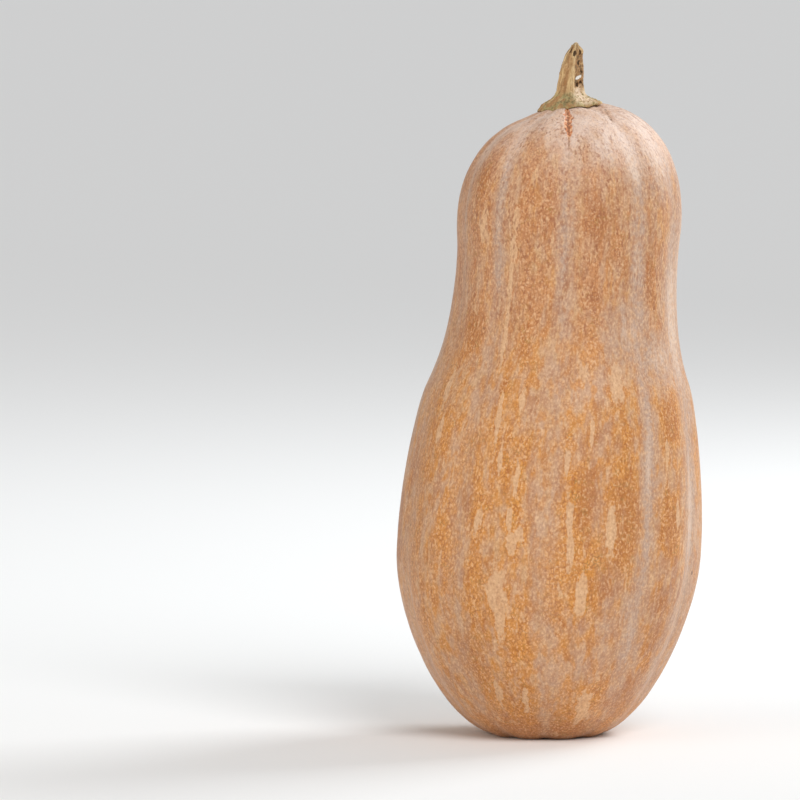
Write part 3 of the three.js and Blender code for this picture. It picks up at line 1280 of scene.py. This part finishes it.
@dataclass(frozen=True)
class SkinFinish:
    """Ripe tan skin: orange speckle in patches, smooth pale blotches and a dusty grey bloom."""

    tan: tuple = paint(201, 155, 110)
    rose: tuple = paint(195, 152, 119)
    warm_tan: tuple = paint(206, 147, 86)
    ochre: tuple = paint(203, 129, 36)
    russet: tuple = paint(194, 131, 80)
    brown: tuple = paint(164, 98, 48)
    net_line: tuple = paint(158, 102, 66)
    net_warm: tuple = paint(172, 102, 40)
    olive: tuple = paint(162, 116, 54)
    cell: tuple = paint(226, 182, 152)
    cell_warm: tuple = paint(232, 174, 108)
    grain_dark: tuple = paint(138, 84, 44)
    grain_light: tuple = paint(248, 208, 164)
    blotch: tuple = paint(214, 170, 128)
    bloom: tuple = paint(184, 152, 131)
    thick_bloom: tuple = paint(210, 182, 160)
    streak: tuple = paint(172, 98, 34)
    crown: tuple = paint(227, 202, 187)
    flesh: tuple = paint(208, 122, 66)
    # A painted highlight for the flesh in the split.
    flesh_highlight: tuple = paint(238, 192, 148)
    flesh_dark: tuple = paint(132, 80, 46)
    freckle: tuple = paint(146, 86, 54)
    line: tuple = paint(120, 78, 50)
    scar: tuple = paint(112, 82, 56)
    cell_size: float = 0.00155

    def build(self, effects: Effects) -> bpy.types.Material:
        """Makes the material.

        Args:
            effects: The shared effects.

        Returns:
            The material.
        """
        material, wiring, shader = new_material("squash_skin")
        growth = wiring.attribute("growth").outputs["Vector"]
        uneven = wiring.bent(growth, 0.0024, 0.0006)
        ochre = self.ochre_mask(wiring, effects, growth)
        pale = self.pale_mask(wiring, effects, growth)
        bloom = self.patch(wiring, growth, "bloom", 0.006, 0.7, -0.1, 1.0)
        kept = wiring.math("MULTIPLY_ADD", pale, -0.7, 1.0)

        parts = wiring.node("ShaderNodeSeparateXYZ")
        wiring.put(parts.inputs[0], wiring.node("ShaderNodeTexCoord").outputs["Object"])
        height = parts.outputs["Z"]
        on_neck = wiring.rise(height, 0.15, 0.215)
        ripest = wiring.rise(wiring.attribute("ochre").outputs["Fac"], 1.5, 0.7)
        warm = wiring.blend(wiring.math("MULTIPLY", on_neck, ripest), self.ochre, self.russet)
        colour = self.ground(wiring, effects, growth, warm)
        wash = wiring.math("MULTIPLY", wiring.math("MULTIPLY", ochre, kept), 0.84)
        colour = wiring.blend(wash, colour, warm)
        brown = self.patch(wiring, growth, "brown", 0.0034, 1.1, -0.1, 0.9)
        brown = wiring.math("MULTIPLY", wiring.math("MULTIPLY", brown, kept), 0.6)
        colour = wiring.blend(brown, colour, self.brown)
        strong = wiring.math("MULTIPLY", wiring.math("MULTIPLY_ADD", ochre, 0.66, 0.14), kept)
        cells = wiring.effect(effects.cells, Vector=uneven, Size=self.cell_size, Stretch=1.5, Line=0.17)
        broken = wiring.rise(wiring.cloud(growth, 0.0032, 2.0), 0.3, 0.62)
        net = wiring.math("MULTIPLY", wiring.math("MULTIPLY", broken, strong), 1.2)
        net = wiring.math("MULTIPLY", cells.outputs["Net"], net)
        centre = wiring.math("MULTIPLY", wiring.math("SUBTRACT", 1.0, cells.outputs["Net"]), strong)
        centre = wiring.math("MULTIPLY", centre, wiring.math("MULTIPLY_ADD", on_neck, -0.24, 0.36))
        centre = wiring.math("MULTIPLY", centre, cells.outputs["Tint"])
        hue = wiring.rise(wiring.cloud(growth, 0.005, 3.0, 0.6), 0.5, 0.62)
        golden = wiring.math("MULTIPLY", ochre, wiring.math("MULTIPLY_ADD", on_neck, -0.7, 1.0))
        line = wiring.blend(golden, self.net_line, self.net_warm)
        colour = wiring.blend(net, colour, wiring.blend(hue, line, self.olive))
        colour = wiring.blend(centre, colour, wiring.blend(golden, self.cell, self.cell_warm))
        colour = wiring.blend(wiring.math("MULTIPLY", pale, 0.8), colour, self.blotch)
        flecks = self.streaks(wiring, effects, growth, 0.21, 0.0042, 3.5, 0.6, 0.72)
        flecks = wiring.math("MULTIPLY", flecks, wiring.math("MULTIPLY", strong, 0.85))
        colour = wiring.blend(flecks, colour, self.streak)
        layer = self.bloomed(wiring, effects, growth, height, colour, bloom)
        colour = layer.outputs["Color"]
        colour = self.crowned(wiring, growth, height, ochre, colour)
        colour = self.freckled(wiring, growth, height, layer.outputs["Amount"], colour)
        colour = self.grained(wiring, growth, colour, strong)
        wiring.put(shader.inputs["Base Color"], self.marked(wiring, growth, colour))

        rough = wiring.rise(layer.outputs["Amount"], 0.0, 0.9)
        rough.node.inputs["To Min"].default_value = 0.47
        rough.node.inputs["To Max"].default_value = 0.66
        wiring.put(shader.inputs["Roughness"], rough)
        shader.inputs["Specular IOR Level"].default_value = 0.4
        shader.inputs["Sheen Weight"].default_value = 0.1
        shader.inputs["Sheen Roughness"].default_value = 0.5
        self.bump(wiring, shader, growth, cells)
        return material

    @staticmethod
    def streaks(
        wiring: Wiring, effects: Effects, growth: Socket, shift: float, width: float, stretch: float,
        low: float, high: float,
    ) -> Socket:
        """Places one layer of the shared streaks.

        Args:
            wiring: The material's wiring.
            effects: The shared effects.
            growth: The place along the growth of the skin.
            shift: How far the layer is moved, so that no two are alike.
            width: How wide the streaks are, in metres.
            stretch: How many times longer they are.
            low: The noise at which they start.
            high: The noise at which they are full.

        Returns:
            The layer's mask.
        """
        place = wiring.stretched(growth, 1.0, shift)
        made = wiring.effect(
            effects.streaks, Vector=place, Width=width, Stretch=stretch, Low=low, High=high
        )
        return made.outputs["Mask"]

    @staticmethod
    def patch(
        wiring: Wiring, growth: Socket, name: str, size: float, wobble: float, low: float, high: float
    ) -> Socket:
        """Turns the nearness to a set of patches into a mask with a grown, uneven edge.

        Args:
            wiring: The material's wiring.
            growth: The place along the growth of the skin.
            name: The attribute that holds the nearness.
            size: How wide the edge's wobbles are, in metres.
            wobble: How strong they are.
            low: The nearness at which the patch starts.
            high: The nearness at which it is full.

        Returns:
            The mask.
        """
        near = wiring.attribute(name).outputs["Fac"]
        cloud = wiring.cloud(wiring.stretched(growth, 2.6, len(name) * 0.13), size, 3.0, 0.6)
        wave = wiring.math("MULTIPLY_ADD", cloud, 2 * wobble, -wobble)
        return wiring.rise(wiring.math("ADD", near, wave), low, high)

    def ochre_mask(self, wiring: Wiring, effects: Effects, growth: Socket) -> Socket:
        """Says where the skin is orange: the named patches, and thin streaks everywhere.

        Args:
            wiring: The material's wiring.
            effects: The shared effects.
            growth: The place along the growth of the skin.

        Returns:
            The mask.
        """
        patches = self.patch(wiring, growth, "ochre", 0.0044, 1.6, -0.35, 0.85)
        thin = self.streaks(wiring, effects, growth, 0.47, 0.0026, 5.0, 0.52, 0.66)
        everywhere = wiring.math("MAXIMUM", patches, wiring.math("MULTIPLY", thin, 0.5))
        rim = self.patch(wiring, growth, "pale", 0.0026, 0.95, -0.5, 0.0)
        return wiring.math("MINIMUM", wiring.math("MULTIPLY_ADD", rim, 0.4, everywhere), 1.0)

    def pale_mask(self, wiring: Wiring, effects: Effects, growth: Socket) -> Socket:
        """Says where the skin is smooth and pale: the named blotches, and small ones everywhere.

        Args:
            wiring: The material's wiring.
            effects: The shared effects.
            growth: The place along the growth of the skin.

        Returns:
            The mask.
        """
        blotches = self.patch(wiring, growth, "pale", 0.0026, 0.95, -0.06, 0.2)
        small = self.streaks(wiring, effects, growth, 0.83, 0.0034, 4.2, 0.6, 0.68)
        return wiring.math("MAXIMUM", blotches, wiring.math("MULTIPLY", small, 0.7))

    def ground(self, wiring: Wiring, effects: Effects, growth: Socket, warm: Socket) -> Socket:
        """Mixes the tan, rose and warm tones that lie under everything else.

        Args:
            wiring: The material's wiring.
            effects: The shared effects.
            growth: The place along the growth of the skin.
            warm: The orange of this part of the fruit.

        Returns:
            The colour.
        """
        rosy = self.streaks(wiring, effects, growth, 0.11, 0.0045, 5.2, 0.44, 0.56)
        sunned = self.streaks(wiring, effects, growth, 0.32, 0.008, 5.0, 0.44, 0.58)
        colour = wiring.blend(sunned, self.tan, self.warm_tan)
        colour = wiring.blend(wiring.math("MULTIPLY", rosy, 0.85), colour, self.rose)
        mottle = wiring.cloud(wiring.stretched(growth, 2.2, 0.37), 0.0036, 1.0, 0.5)
        colour = wiring.blend(wiring.rise(mottle, 0.5, 0.64, 0.7), colour, warm)
        colour = wiring.blend(wiring.rise(mottle, 0.5, 0.36, 0.7), colour, self.rose)
        shade = self.streaks(wiring, effects, growth, 0.74, 0.0046, 3.2, 0.48, 0.62)
        return wiring.blend(wiring.math("MULTIPLY", shade, 0.46), colour, self.brown)

    def bloomed(
        self, wiring: Wiring, effects: Effects, growth: Socket, height: Socket, colour: Socket,
        bloom: Socket,
    ) -> bpy.types.Node:
        """Lays the dusty bloom over the bands where it hasn't been rubbed off.

        Args:
            wiring: The material's wiring.
            effects: The shared effects.
            growth: The place along the growth of the skin.
            height: The height over the floor. The bloom is paler where it is thick, and higher up.
            colour: The skin's colour under the bloom.
            bloom: Where the bands are.

        Returns:
            The shared dust layer.
        """
        valley = wiring.attribute("valley").outputs["Fac"]
        rubbed = self.streaks(wiring, effects, growth, 0.62, 0.0034, 9.0, 0.3, 0.7)
        bands = wiring.math("MULTIPLY_ADD", wiring.rise(valley, 0.5, 1.0), 0.4, bloom)
        amount = wiring.math("MULTIPLY", bands, wiring.math("MULTIPLY_ADD", rubbed, 0.45, 0.6))
        amount = wiring.math("MULTIPLY_ADD", rubbed, 0.08, amount)
        thick = wiring.rise(wiring.attribute("bloom").outputs["Fac"], 0.7, 1.4)
        dust = wiring.blend(thick, self.bloom, self.thick_bloom)
        dust = wiring.blend(wiring.rise(height, 0.25, 0.285), dust, self.crown)
        return wiring.effect(
            effects.dust, Color=colour, Dust=dust, Amount=amount, Vector=growth, Grain=0.0026
        )

    def crowned(
        self, wiring: Wiring, growth: Socket, height: Socket, ochre: Socket, colour: Socket
    ) -> Socket:
        """Pales the skin round the stem, less where it is orange.

        Args:
            wiring: The material's wiring.
            growth: The place along the growth of the skin.
            height: The height over the floor.
            ochre: Where the skin is orange.
            colour: The colour so far.

        Returns:
            The colour.
        """
        near = wiring.rise(height, 0.252, 0.292, 0.95)
        worn = wiring.rise(wiring.cloud(wiring.stretched(growth, 3.5, 0.26), 0.006, 3.0), 0.62, 0.4)
        near = wiring.math("MULTIPLY", near, wiring.math("MULTIPLY_ADD", worn, 0.5, 0.45))
        near = wiring.math("MULTIPLY", near, wiring.math("MULTIPLY_ADD", ochre, -0.6, 1.0))
        return wiring.blend(near, colour, self.crown)

    def freckled(
        self, wiring: Wiring, growth: Socket, height: Socket, bloom: Socket, colour: Socket
    ) -> Socket:
        """Strews short dark dashes over the neck, fewer on the crown and where the bloom is thick.

        Args:
            wiring: The material's wiring.
            growth: The place along the growth of the skin.
            height: The height over the floor.
            bloom: How thick the bloom is.
            colour: The colour so far.

        Returns:
            The colour.
        """
        cloud = wiring.cloud(wiring.stretched(growth, 2.2, 0.55), 0.0015, 1.0)
        dashes = wiring.rise(cloud, 0.54, 0.68, 0.62)
        crowded = wiring.rise(wiring.cloud(wiring.stretched(growth, 2.0, 0.15), 0.013, 2.0), 0.36, 0.6)
        amount = wiring.math("MULTIPLY", dashes, wiring.math("MULTIPLY_ADD", crowded, 0.7, 0.3))
        amount = wiring.math("MULTIPLY", amount, wiring.math("ADD", wiring.rise(height, 0.15, 0.215, 0.7), 0.3))
        amount = wiring.math("MULTIPLY", amount, wiring.math("ADD", wiring.rise(height, 0.25, 0.285, 0.15), 0.92))
        amount = wiring.math("MULTIPLY", amount, wiring.math("MULTIPLY_ADD", bloom, -0.35, 1.0))
        return wiring.blend(amount, colour, self.freckle)

    def grained(self, wiring: Wiring, growth: Socket, colour: Socket, strong: Socket) -> Socket:
        """Speckles the skin with the finest dark and light grain.

        Args:
            wiring: The material's wiring.
            growth: The place along the growth of the skin.
            colour: The colour so far.
            strong: How strong the net of cells is.

        Returns:
            The colour.
        """
        grain = wiring.cloud(wiring.stretched(growth, 1.5, 0.9), 0.00095, 2.0, 0.6)
        amount = wiring.math("MULTIPLY_ADD", strong, 0.12, 0.3)
        dark = wiring.math("MULTIPLY", wiring.rise(grain, 0.5, 0.3), amount)
        light = wiring.math("MULTIPLY", wiring.rise(grain, 0.5, 0.7), amount)
        colour = wiring.blend(dark, colour, self.grain_dark)
        return wiring.blend(light, colour, self.grain_light)

    def marked(self, wiring: Wiring, growth: Socket, colour: Socket) -> Socket:
        """Puts in the split, with painted highlights on its flesh and painted shade down its middle, its
        hairline, the crease, small brown dots and the blossom scar.

        Args:
            wiring: The material's wiring.
            growth: The place along the growth of the skin.
            colour: The colour so far.

        Returns:
            The colour.
        """
        line = wiring.rise(wiring.attribute("line").outputs["Fac"], 0.05, 0.7, 0.7)
        broken = wiring.rise(wiring.cloud(growth, 0.0028, 2.0), 0.32, 0.56)
        line = wiring.math("MULTIPLY", line, broken)
        colour = wiring.blend(line, colour, self.line)
        dots = wiring.node("ShaderNodeTexVoronoi", feature="F1")
        wiring.put(dots.inputs["Vector"], growth)
        wiring.put(dots.inputs["Scale"], 60.0)
        near = wiring.rise(dots.outputs["Distance"], 0.085, 0.045)
        picked = wiring.node("ShaderNodeSeparateColor")
        wiring.put(picked.inputs[0], dots.outputs["Color"])
        near = wiring.math("MULTIPLY", near, wiring.rise(picked.outputs[1], 0.72, 0.78, 0.75))
        colour = wiring.blend(near, colour, self.line)
        flesh = wiring.attribute("flesh").outputs["Fac"]
        cloud = wiring.cloud(wiring.stretched(growth, 1.8, 0.5), 0.0017, 2.0, 0.6)
        # Painted highlight: the paler patches of the flesh in the split.
        inside = wiring.blend(wiring.rise(cloud, 0.5, 0.64), self.flesh, self.flesh_highlight)
        inside = wiring.blend(wiring.rise(cloud, 0.47, 0.38), inside, self.flesh_dark)
        # Painted shade: the flesh is darkened along the hairline, down the middle of the split.
        inside = wiring.blend(line, inside, self.flesh_dark)
        colour = wiring.blend(wiring.rise(flesh, 0.1, 0.6, 0.9), colour, inside)
        scar = wiring.attribute("scar").outputs["Fac"]
        return wiring.blend(scar, colour, self.scar)

    @staticmethod
    def bump(wiring: Wiring, shader: bpy.types.Node, growth: Socket, cells: bpy.types.Node) -> None:
        """Gives the skin its fine relief.

        Args:
            wiring: The material's wiring.
            shader: The material's Principled BSDF.
            growth: The place along the growth of the skin.
            cells: The net of cells.
        """
        pores = wiring.cloud(wiring.stretched(growth, 1.6, 0.7), 0.0013, 3.0, 0.6)
        grown = wiring.cloud(wiring.stretched(growth, 5.0, 0.4), 0.003, 2.0, 0.5)
        height = wiring.math("MULTIPLY_ADD", cells.outputs["Net"], -0.3, pores)
        height = wiring.math("MULTIPLY_ADD", grown, 1.2, height)
        bump = wiring.node("ShaderNodeBump")
        bump.inputs["Strength"].default_value = 0.6
        bump.inputs["Distance"].default_value = 0.00025
        wiring.put(bump.inputs["Height"], height)
        wiring.put(shader.inputs["Normal"], bump.outputs["Normal"])


@dataclass(frozen=True)
class StemFinish:
    """Dry cork: tan fibres, brown hollows, a greenish foot and dark pits in the cut, with painted light on the
    ridges and the right of the foot, and painted shade in the hollows, in the pits and under the lip.
    """

    tan: tuple = paint(212, 178, 128)
    brown: tuple = paint(150, 98, 52)
    dark: tuple = paint(66, 44, 26)
    crest: tuple = paint(230, 202, 156)
    green: tuple = paint(140, 136, 88)
    olive: tuple = paint(84, 80, 46)
    # Painted light for the right of the foot.
    pale_lit_band: tuple = paint(240, 216, 192)
    # Near white, for the chip: partly a painted highlight.
    chalk_and_glint: tuple = paint(250, 246, 238)

    def build(self, effects: Effects) -> bpy.types.Material:
        """Makes the material.

        Args:
            effects: The shared effects.

        Returns:
            The material.
        """
        material, wiring, shader = new_material("squash_stem_cork")
        growth = wiring.attribute("growth").outputs["Vector"]
        place = wiring.node("ShaderNodeTexCoord").outputs["Object"]
        strands = SkinFinish.streaks(wiring, effects, growth, 0.0, 0.0013, 6.0, 0.42, 0.6)
        stains = SkinFinish.streaks(wiring, effects, growth, 0.3, 0.0026, 3.0, 0.46, 0.58)
        holes = wiring.cloud(place, 0.0017, 4.0, 0.7)
        colour = self.shaft(wiring, strands, stains, holes)
        colour = self.foot(wiring, place, holes, colour)
        colour = self.worn(wiring, holes, colour)
        layer = wiring.effect(
            effects.dust, Color=colour, Dust=self.crest, Amount=0.22, Vector=growth, Grain=0.0009
        )
        wiring.put(shader.inputs["Base Color"], self.pitted(wiring, holes, layer.outputs["Color"]))

        rough = wiring.rise(holes, 0.3, 0.7)
        rough.node.inputs["To Min"].default_value = 0.75
        rough.node.inputs["To Max"].default_value = 0.95
        wiring.put(shader.inputs["Roughness"], rough)
        shader.inputs["Specular IOR Level"].default_value = 0.25
        bump = wiring.node("ShaderNodeBump")
        bump.inputs["Strength"].default_value = 0.9
        bump.inputs["Distance"].default_value = 0.0006
        wiring.put(bump.inputs["Height"], wiring.math("MULTIPLY_ADD", strands, 0.7, holes))
        wiring.put(shader.inputs["Normal"], bump.outputs["Normal"])
        return material

    def shaft(self, wiring: Wiring, strands: Socket, stains: Socket, holes: Socket) -> Socket:
        """Colours the fibres, with pale ridges and brown hollows: partly the cork's own colour, partly painted
        light on the ridges and painted shade in the hollows between the ridges and between the toes.

        Args:
            wiring: The material's wiring.
            strands: The thin fibres.
            stains: The broad stains.
            holes: The corky noise.

        Returns:
            The colour.
        """
        crest = wiring.attribute("crest").outputs["Fac"]
        colour = wiring.blend(wiring.math("MULTIPLY", strands, 0.7), self.tan, self.brown)
        colour = wiring.blend(wiring.math("MULTIPLY", stains, 0.55), colour, self.brown)
        # Partly painted light: the ridges are painted paler.
        ridge = wiring.math("MULTIPLY", wiring.rise(crest, 0.55, 0.95, 0.6), wiring.rise(holes, 0.7, 0.42))
        colour = wiring.blend(ridge, colour, self.crest)
        # Partly painted shade: the hollows between the ridges and between the toes are painted brown.
        hollow = wiring.math("MULTIPLY", wiring.rise(crest, 0.4, 0.05, 0.8), wiring.rise(holes, 0.3, 0.55))
        return wiring.blend(hollow, colour, self.brown)

    def foot(self, wiring: Wiring, place: Socket, holes: Socket, colour: Socket) -> Socket:
        """Tints the foot green in places, paints light on its right side and paints shade under its lip.

        Args:
            wiring: The material's wiring.
            place: The place in the piece's own frame.
            holes: The corky noise.
            colour: The colour so far.

        Returns:
            The colour.
        """
        foot = wiring.rise(wiring.attribute("foot").outputs["Fac"], 0.15, 0.8)
        patches = wiring.rise(wiring.cloud(place, 0.0042, 3.0, 0.6), 0.42, 0.58, 0.75)
        colour = wiring.blend(wiring.math("MULTIPLY", foot, patches), colour, self.green)
        spots = wiring.math("MULTIPLY", wiring.rise(holes, 0.54, 0.62, 0.75), foot)
        mossy = wiring.math("MULTIPLY", wiring.attribute("mossy").outputs["Fac"], 0.8)
        spots = wiring.math("MAXIMUM", spots, wiring.math("MULTIPLY", mossy, wiring.rise(holes, 0.46, 0.56)))
        colour = wiring.blend(wiring.math("MULTIPLY", mossy, 0.6), colour, self.green)
        colour = wiring.blend(spots, colour, self.olive)
        stains = wiring.rise(wiring.cloud(place, 0.0024, 2.0, 0.5), 0.52, 0.62, 0.7)
        colour = wiring.blend(wiring.math("MULTIPLY", foot, stains), colour, self.brown)
        # Painted light: the right of the foot is painted pale.
        pale_lit_band = wiring.math("MULTIPLY", wiring.attribute("pale_lit_band").outputs["Fac"], 0.85)
        pale_lit_band = wiring.math("MULTIPLY", pale_lit_band, wiring.rise(holes, 0.62, 0.42))
        colour = wiring.blend(pale_lit_band, colour, self.pale_lit_band)
        # Painted shade: the underside of the foot's lip is painted dark.
        under = wiring.attribute("under").outputs["Fac"]
        return wiring.blend(wiring.math("MULTIPLY", under, 0.85), colour, self.dark)

    def worn(self, wiring: Wiring, holes: Socket, colour: Socket) -> Socket:
        """Darkens the corky recess, and pales the cut face at the tip.

        Args:
            wiring: The material's wiring.
            holes: The corky noise.
            colour: The colour so far.

        Returns:
            The colour.
        """
        rot = wiring.attribute("rot").outputs["Fac"]
        rotten = wiring.math("MULTIPLY", wiring.rise(rot, 0.1, 0.5, 0.9), wiring.rise(holes, 0.4, 0.5))
        colour = wiring.blend(rotten, colour, self.brown)
        deep = wiring.math("MULTIPLY", wiring.rise(rot, 0.2, 0.6, 0.9), wiring.rise(holes, 0.5, 0.57))
        colour = wiring.blend(deep, colour, self.dark)
        cut = wiring.attribute("cut").outputs["Fac"]
        return wiring.blend(wiring.rise(cut, 0.0, 0.5, 0.5), colour, self.crest)

    def pitted(self, wiring: Wiring, holes: Socket, colour: Socket) -> Socket:
        """Puts in the dark pits, partly their own colour and partly painted shade, and the pale ragged chip,
        partly a painted highlight.

        Args:
            wiring: The material's wiring.
            holes: The corky noise.
            colour: The colour so far.

        Returns:
            The colour.
        """
        # Partly a painted highlight: the chip on the right of the shaft is painted near white.
        chip_and_glint = wiring.math("MULTIPLY_ADD", holes, 1.6, wiring.attribute("chip_and_glint").outputs["Fac"])
        chip_and_glint = wiring.rise(chip_and_glint, 1.2, 1.45, 0.92)
        colour = wiring.blend(chip_and_glint, colour, self.chalk_and_glint)
        # Partly painted shade: the pits are painted nearly black.
        pit = wiring.math("MULTIPLY_ADD", holes, 0.9, wiring.attribute("pit").outputs["Fac"])
        pit = wiring.rise(pit, 0.76, 1.14, 0.92)
        return wiring.blend(pit, colour, self.dark)


# The studio.


class LampKind(Enum):
    """The kinds of lamp: a square panel near by, or a wide skylight from far off."""

    PANEL = "AREA"
    SKYLIGHT = "SUN"


@dataclass(frozen=True)
class Lamp:
    """A soft lamp that faces the squash."""

    side: Side
    kind: LampKind
    power: float
    size: float
    colour: tuple[float, float, float]
    distance: float = 2.0
    aim: tuple[float, float, float] = (0.0, 0.0, 0.16)

    def build(self) -> None:
        """Hangs the lamp."""
        turn, rise = (math.radians(value) for value in self.side.value)
        away = Vector((math.sin(turn) * math.cos(rise), -math.cos(turn) * math.cos(rise), math.sin(rise)))
        light = bpy.data.lights.new("lamp_" + self.side.name.lower(), self.kind.value)
        light.energy, light.color = self.power, self.colour
        if self.kind is LampKind.SKYLIGHT:
            light.angle = math.radians(self.size)
        else:
            light.size = self.size
        lamp = bpy.data.objects.new(light.name, light)
        lamp.location = Vector(self.aim) + away * self.distance
        lamp.rotation_euler = (-away).to_track_quat("-Z", "Y").to_euler()
        bpy.context.scene.collection.objects.link(lamp)


@dataclass
class Studio:
    """The pale floor, the white surroundings, the lamps and the camera."""

    floor_radius: float = 60.0
    floor_colour: tuple = paint(243, 242, 241)
    air_light: float = 0.36
    air_seen: float = 0.8
    lamps: tuple[Lamp, ...] = (
        Lamp(Side.RIGHT_FRONT, LampKind.SKYLIGHT, 1.84, 34.0, (0.94, 0.965, 0.985)),
        Lamp(Side.LEFT_FRONT, LampKind.PANEL, 11.0, 1.5, (1.0, 0.93, 0.83)),
        Lamp(Side.RIGHT_BACK, LampKind.PANEL, 26.0, 1.0, (0.92, 0.97, 1.0)),
    )
    camera_distance: float = 3.0
    camera_rise: float = math.radians(4.0)
    view_width: float = 0.368
    aim: tuple[float, float, float] = (-0.0687, 0.0, 0.1542)

    def build(self) -> None:
        """Sets up the floor, the light and the camera."""
        self.lay_floor()
        self.fill_air()
        for lamp in self.lamps:
            lamp.build()
        self.place_camera()
        bpy.context.scene.view_settings.view_transform = "Standard"

    def lay_floor(self) -> None:
        """Lays the floor, which isn't part of the squash."""
        disc = bmesh.new()
        bmesh.ops.create_circle(disc, cap_ends=True, segments=96, radius=self.floor_radius)
        floor = finished_object("studio_floor", disc)
        material, _, shader = new_material("floor_paper")
        shader.inputs["Base Color"].default_value = self.floor_colour
        shader.inputs["Roughness"].default_value = 0.95
        shader.inputs["Specular IOR Level"].default_value = 0.1
        floor.data.materials.append(material)

    def fill_air(self) -> None:
        """Lights the scene evenly from all round, and matches what is seen of the air to the floor."""
        world = bpy.data.worlds.new("studio_air")
        world.use_nodes = True
        background = next(node for node in world.node_tree.nodes if node.type == "BACKGROUND")
        background.inputs["Color"].default_value = (1.0, 1.0, 1.0, 1.0)
        wiring = Wiring(world.node_tree)
        seen = wiring.node("ShaderNodeLightPath").outputs["Is Camera Ray"]
        strength = wiring.math("MULTIPLY_ADD", seen, self.air_seen - self.air_light, self.air_light)
        wiring.put(background.inputs["Strength"], strength)
        bpy.context.scene.world = world

    def place_camera(self) -> None:
        """Puts the camera at the photograph's angle, with the squash to the right of the middle."""
        lens = bpy.data.cameras.new("camera")
        lens.sensor_width = 36.0
        lens.lens = lens.sensor_width * self.camera_distance / self.view_width
        lens.clip_start, lens.clip_end = 0.05, 200.0
        camera = bpy.data.objects.new("camera", lens)
        back = Vector((0.0, -math.cos(self.camera_rise), math.sin(self.camera_rise)))
        camera.location = Vector(self.aim) + back * self.camera_distance
        camera.rotation_euler = (-back).to_track_quat("-Z", "Y").to_euler()
        bpy.context.scene.collection.objects.link(camera)
        bpy.context.scene.camera = camera


def report(piece: bpy.types.Object) -> None:
    """Logs a finished piece.

    Args:
        piece: The piece.
    """
    faces = sum(len(polygon.vertices) - 2 for polygon in piece.data.polygons)
    size = [round(value * 1000, 1) for value in piece.dimensions]
    log.info("%s: %d triangles, %s mm", piece.name, faces, size)


def main() -> None:
    """Builds the studio and the squash."""
    logging.basicConfig(level=logging.INFO, format="%(name)s: %(message)s")
    Studio().build()
    effects = Effects()
    shape = Fruit()
    fruit, skin = shape.build()
    fruit.data.materials.append(SkinFinish().build(effects))
    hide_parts("fruit")
    stem = Stem(shape).build(skin)
    stem.data.materials.append(StemFinish().build(effects))
    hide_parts("stem")
    for piece in (fruit, stem):
        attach(piece, "root")
        report(piece)


if __name__ == "__main__":
    main()
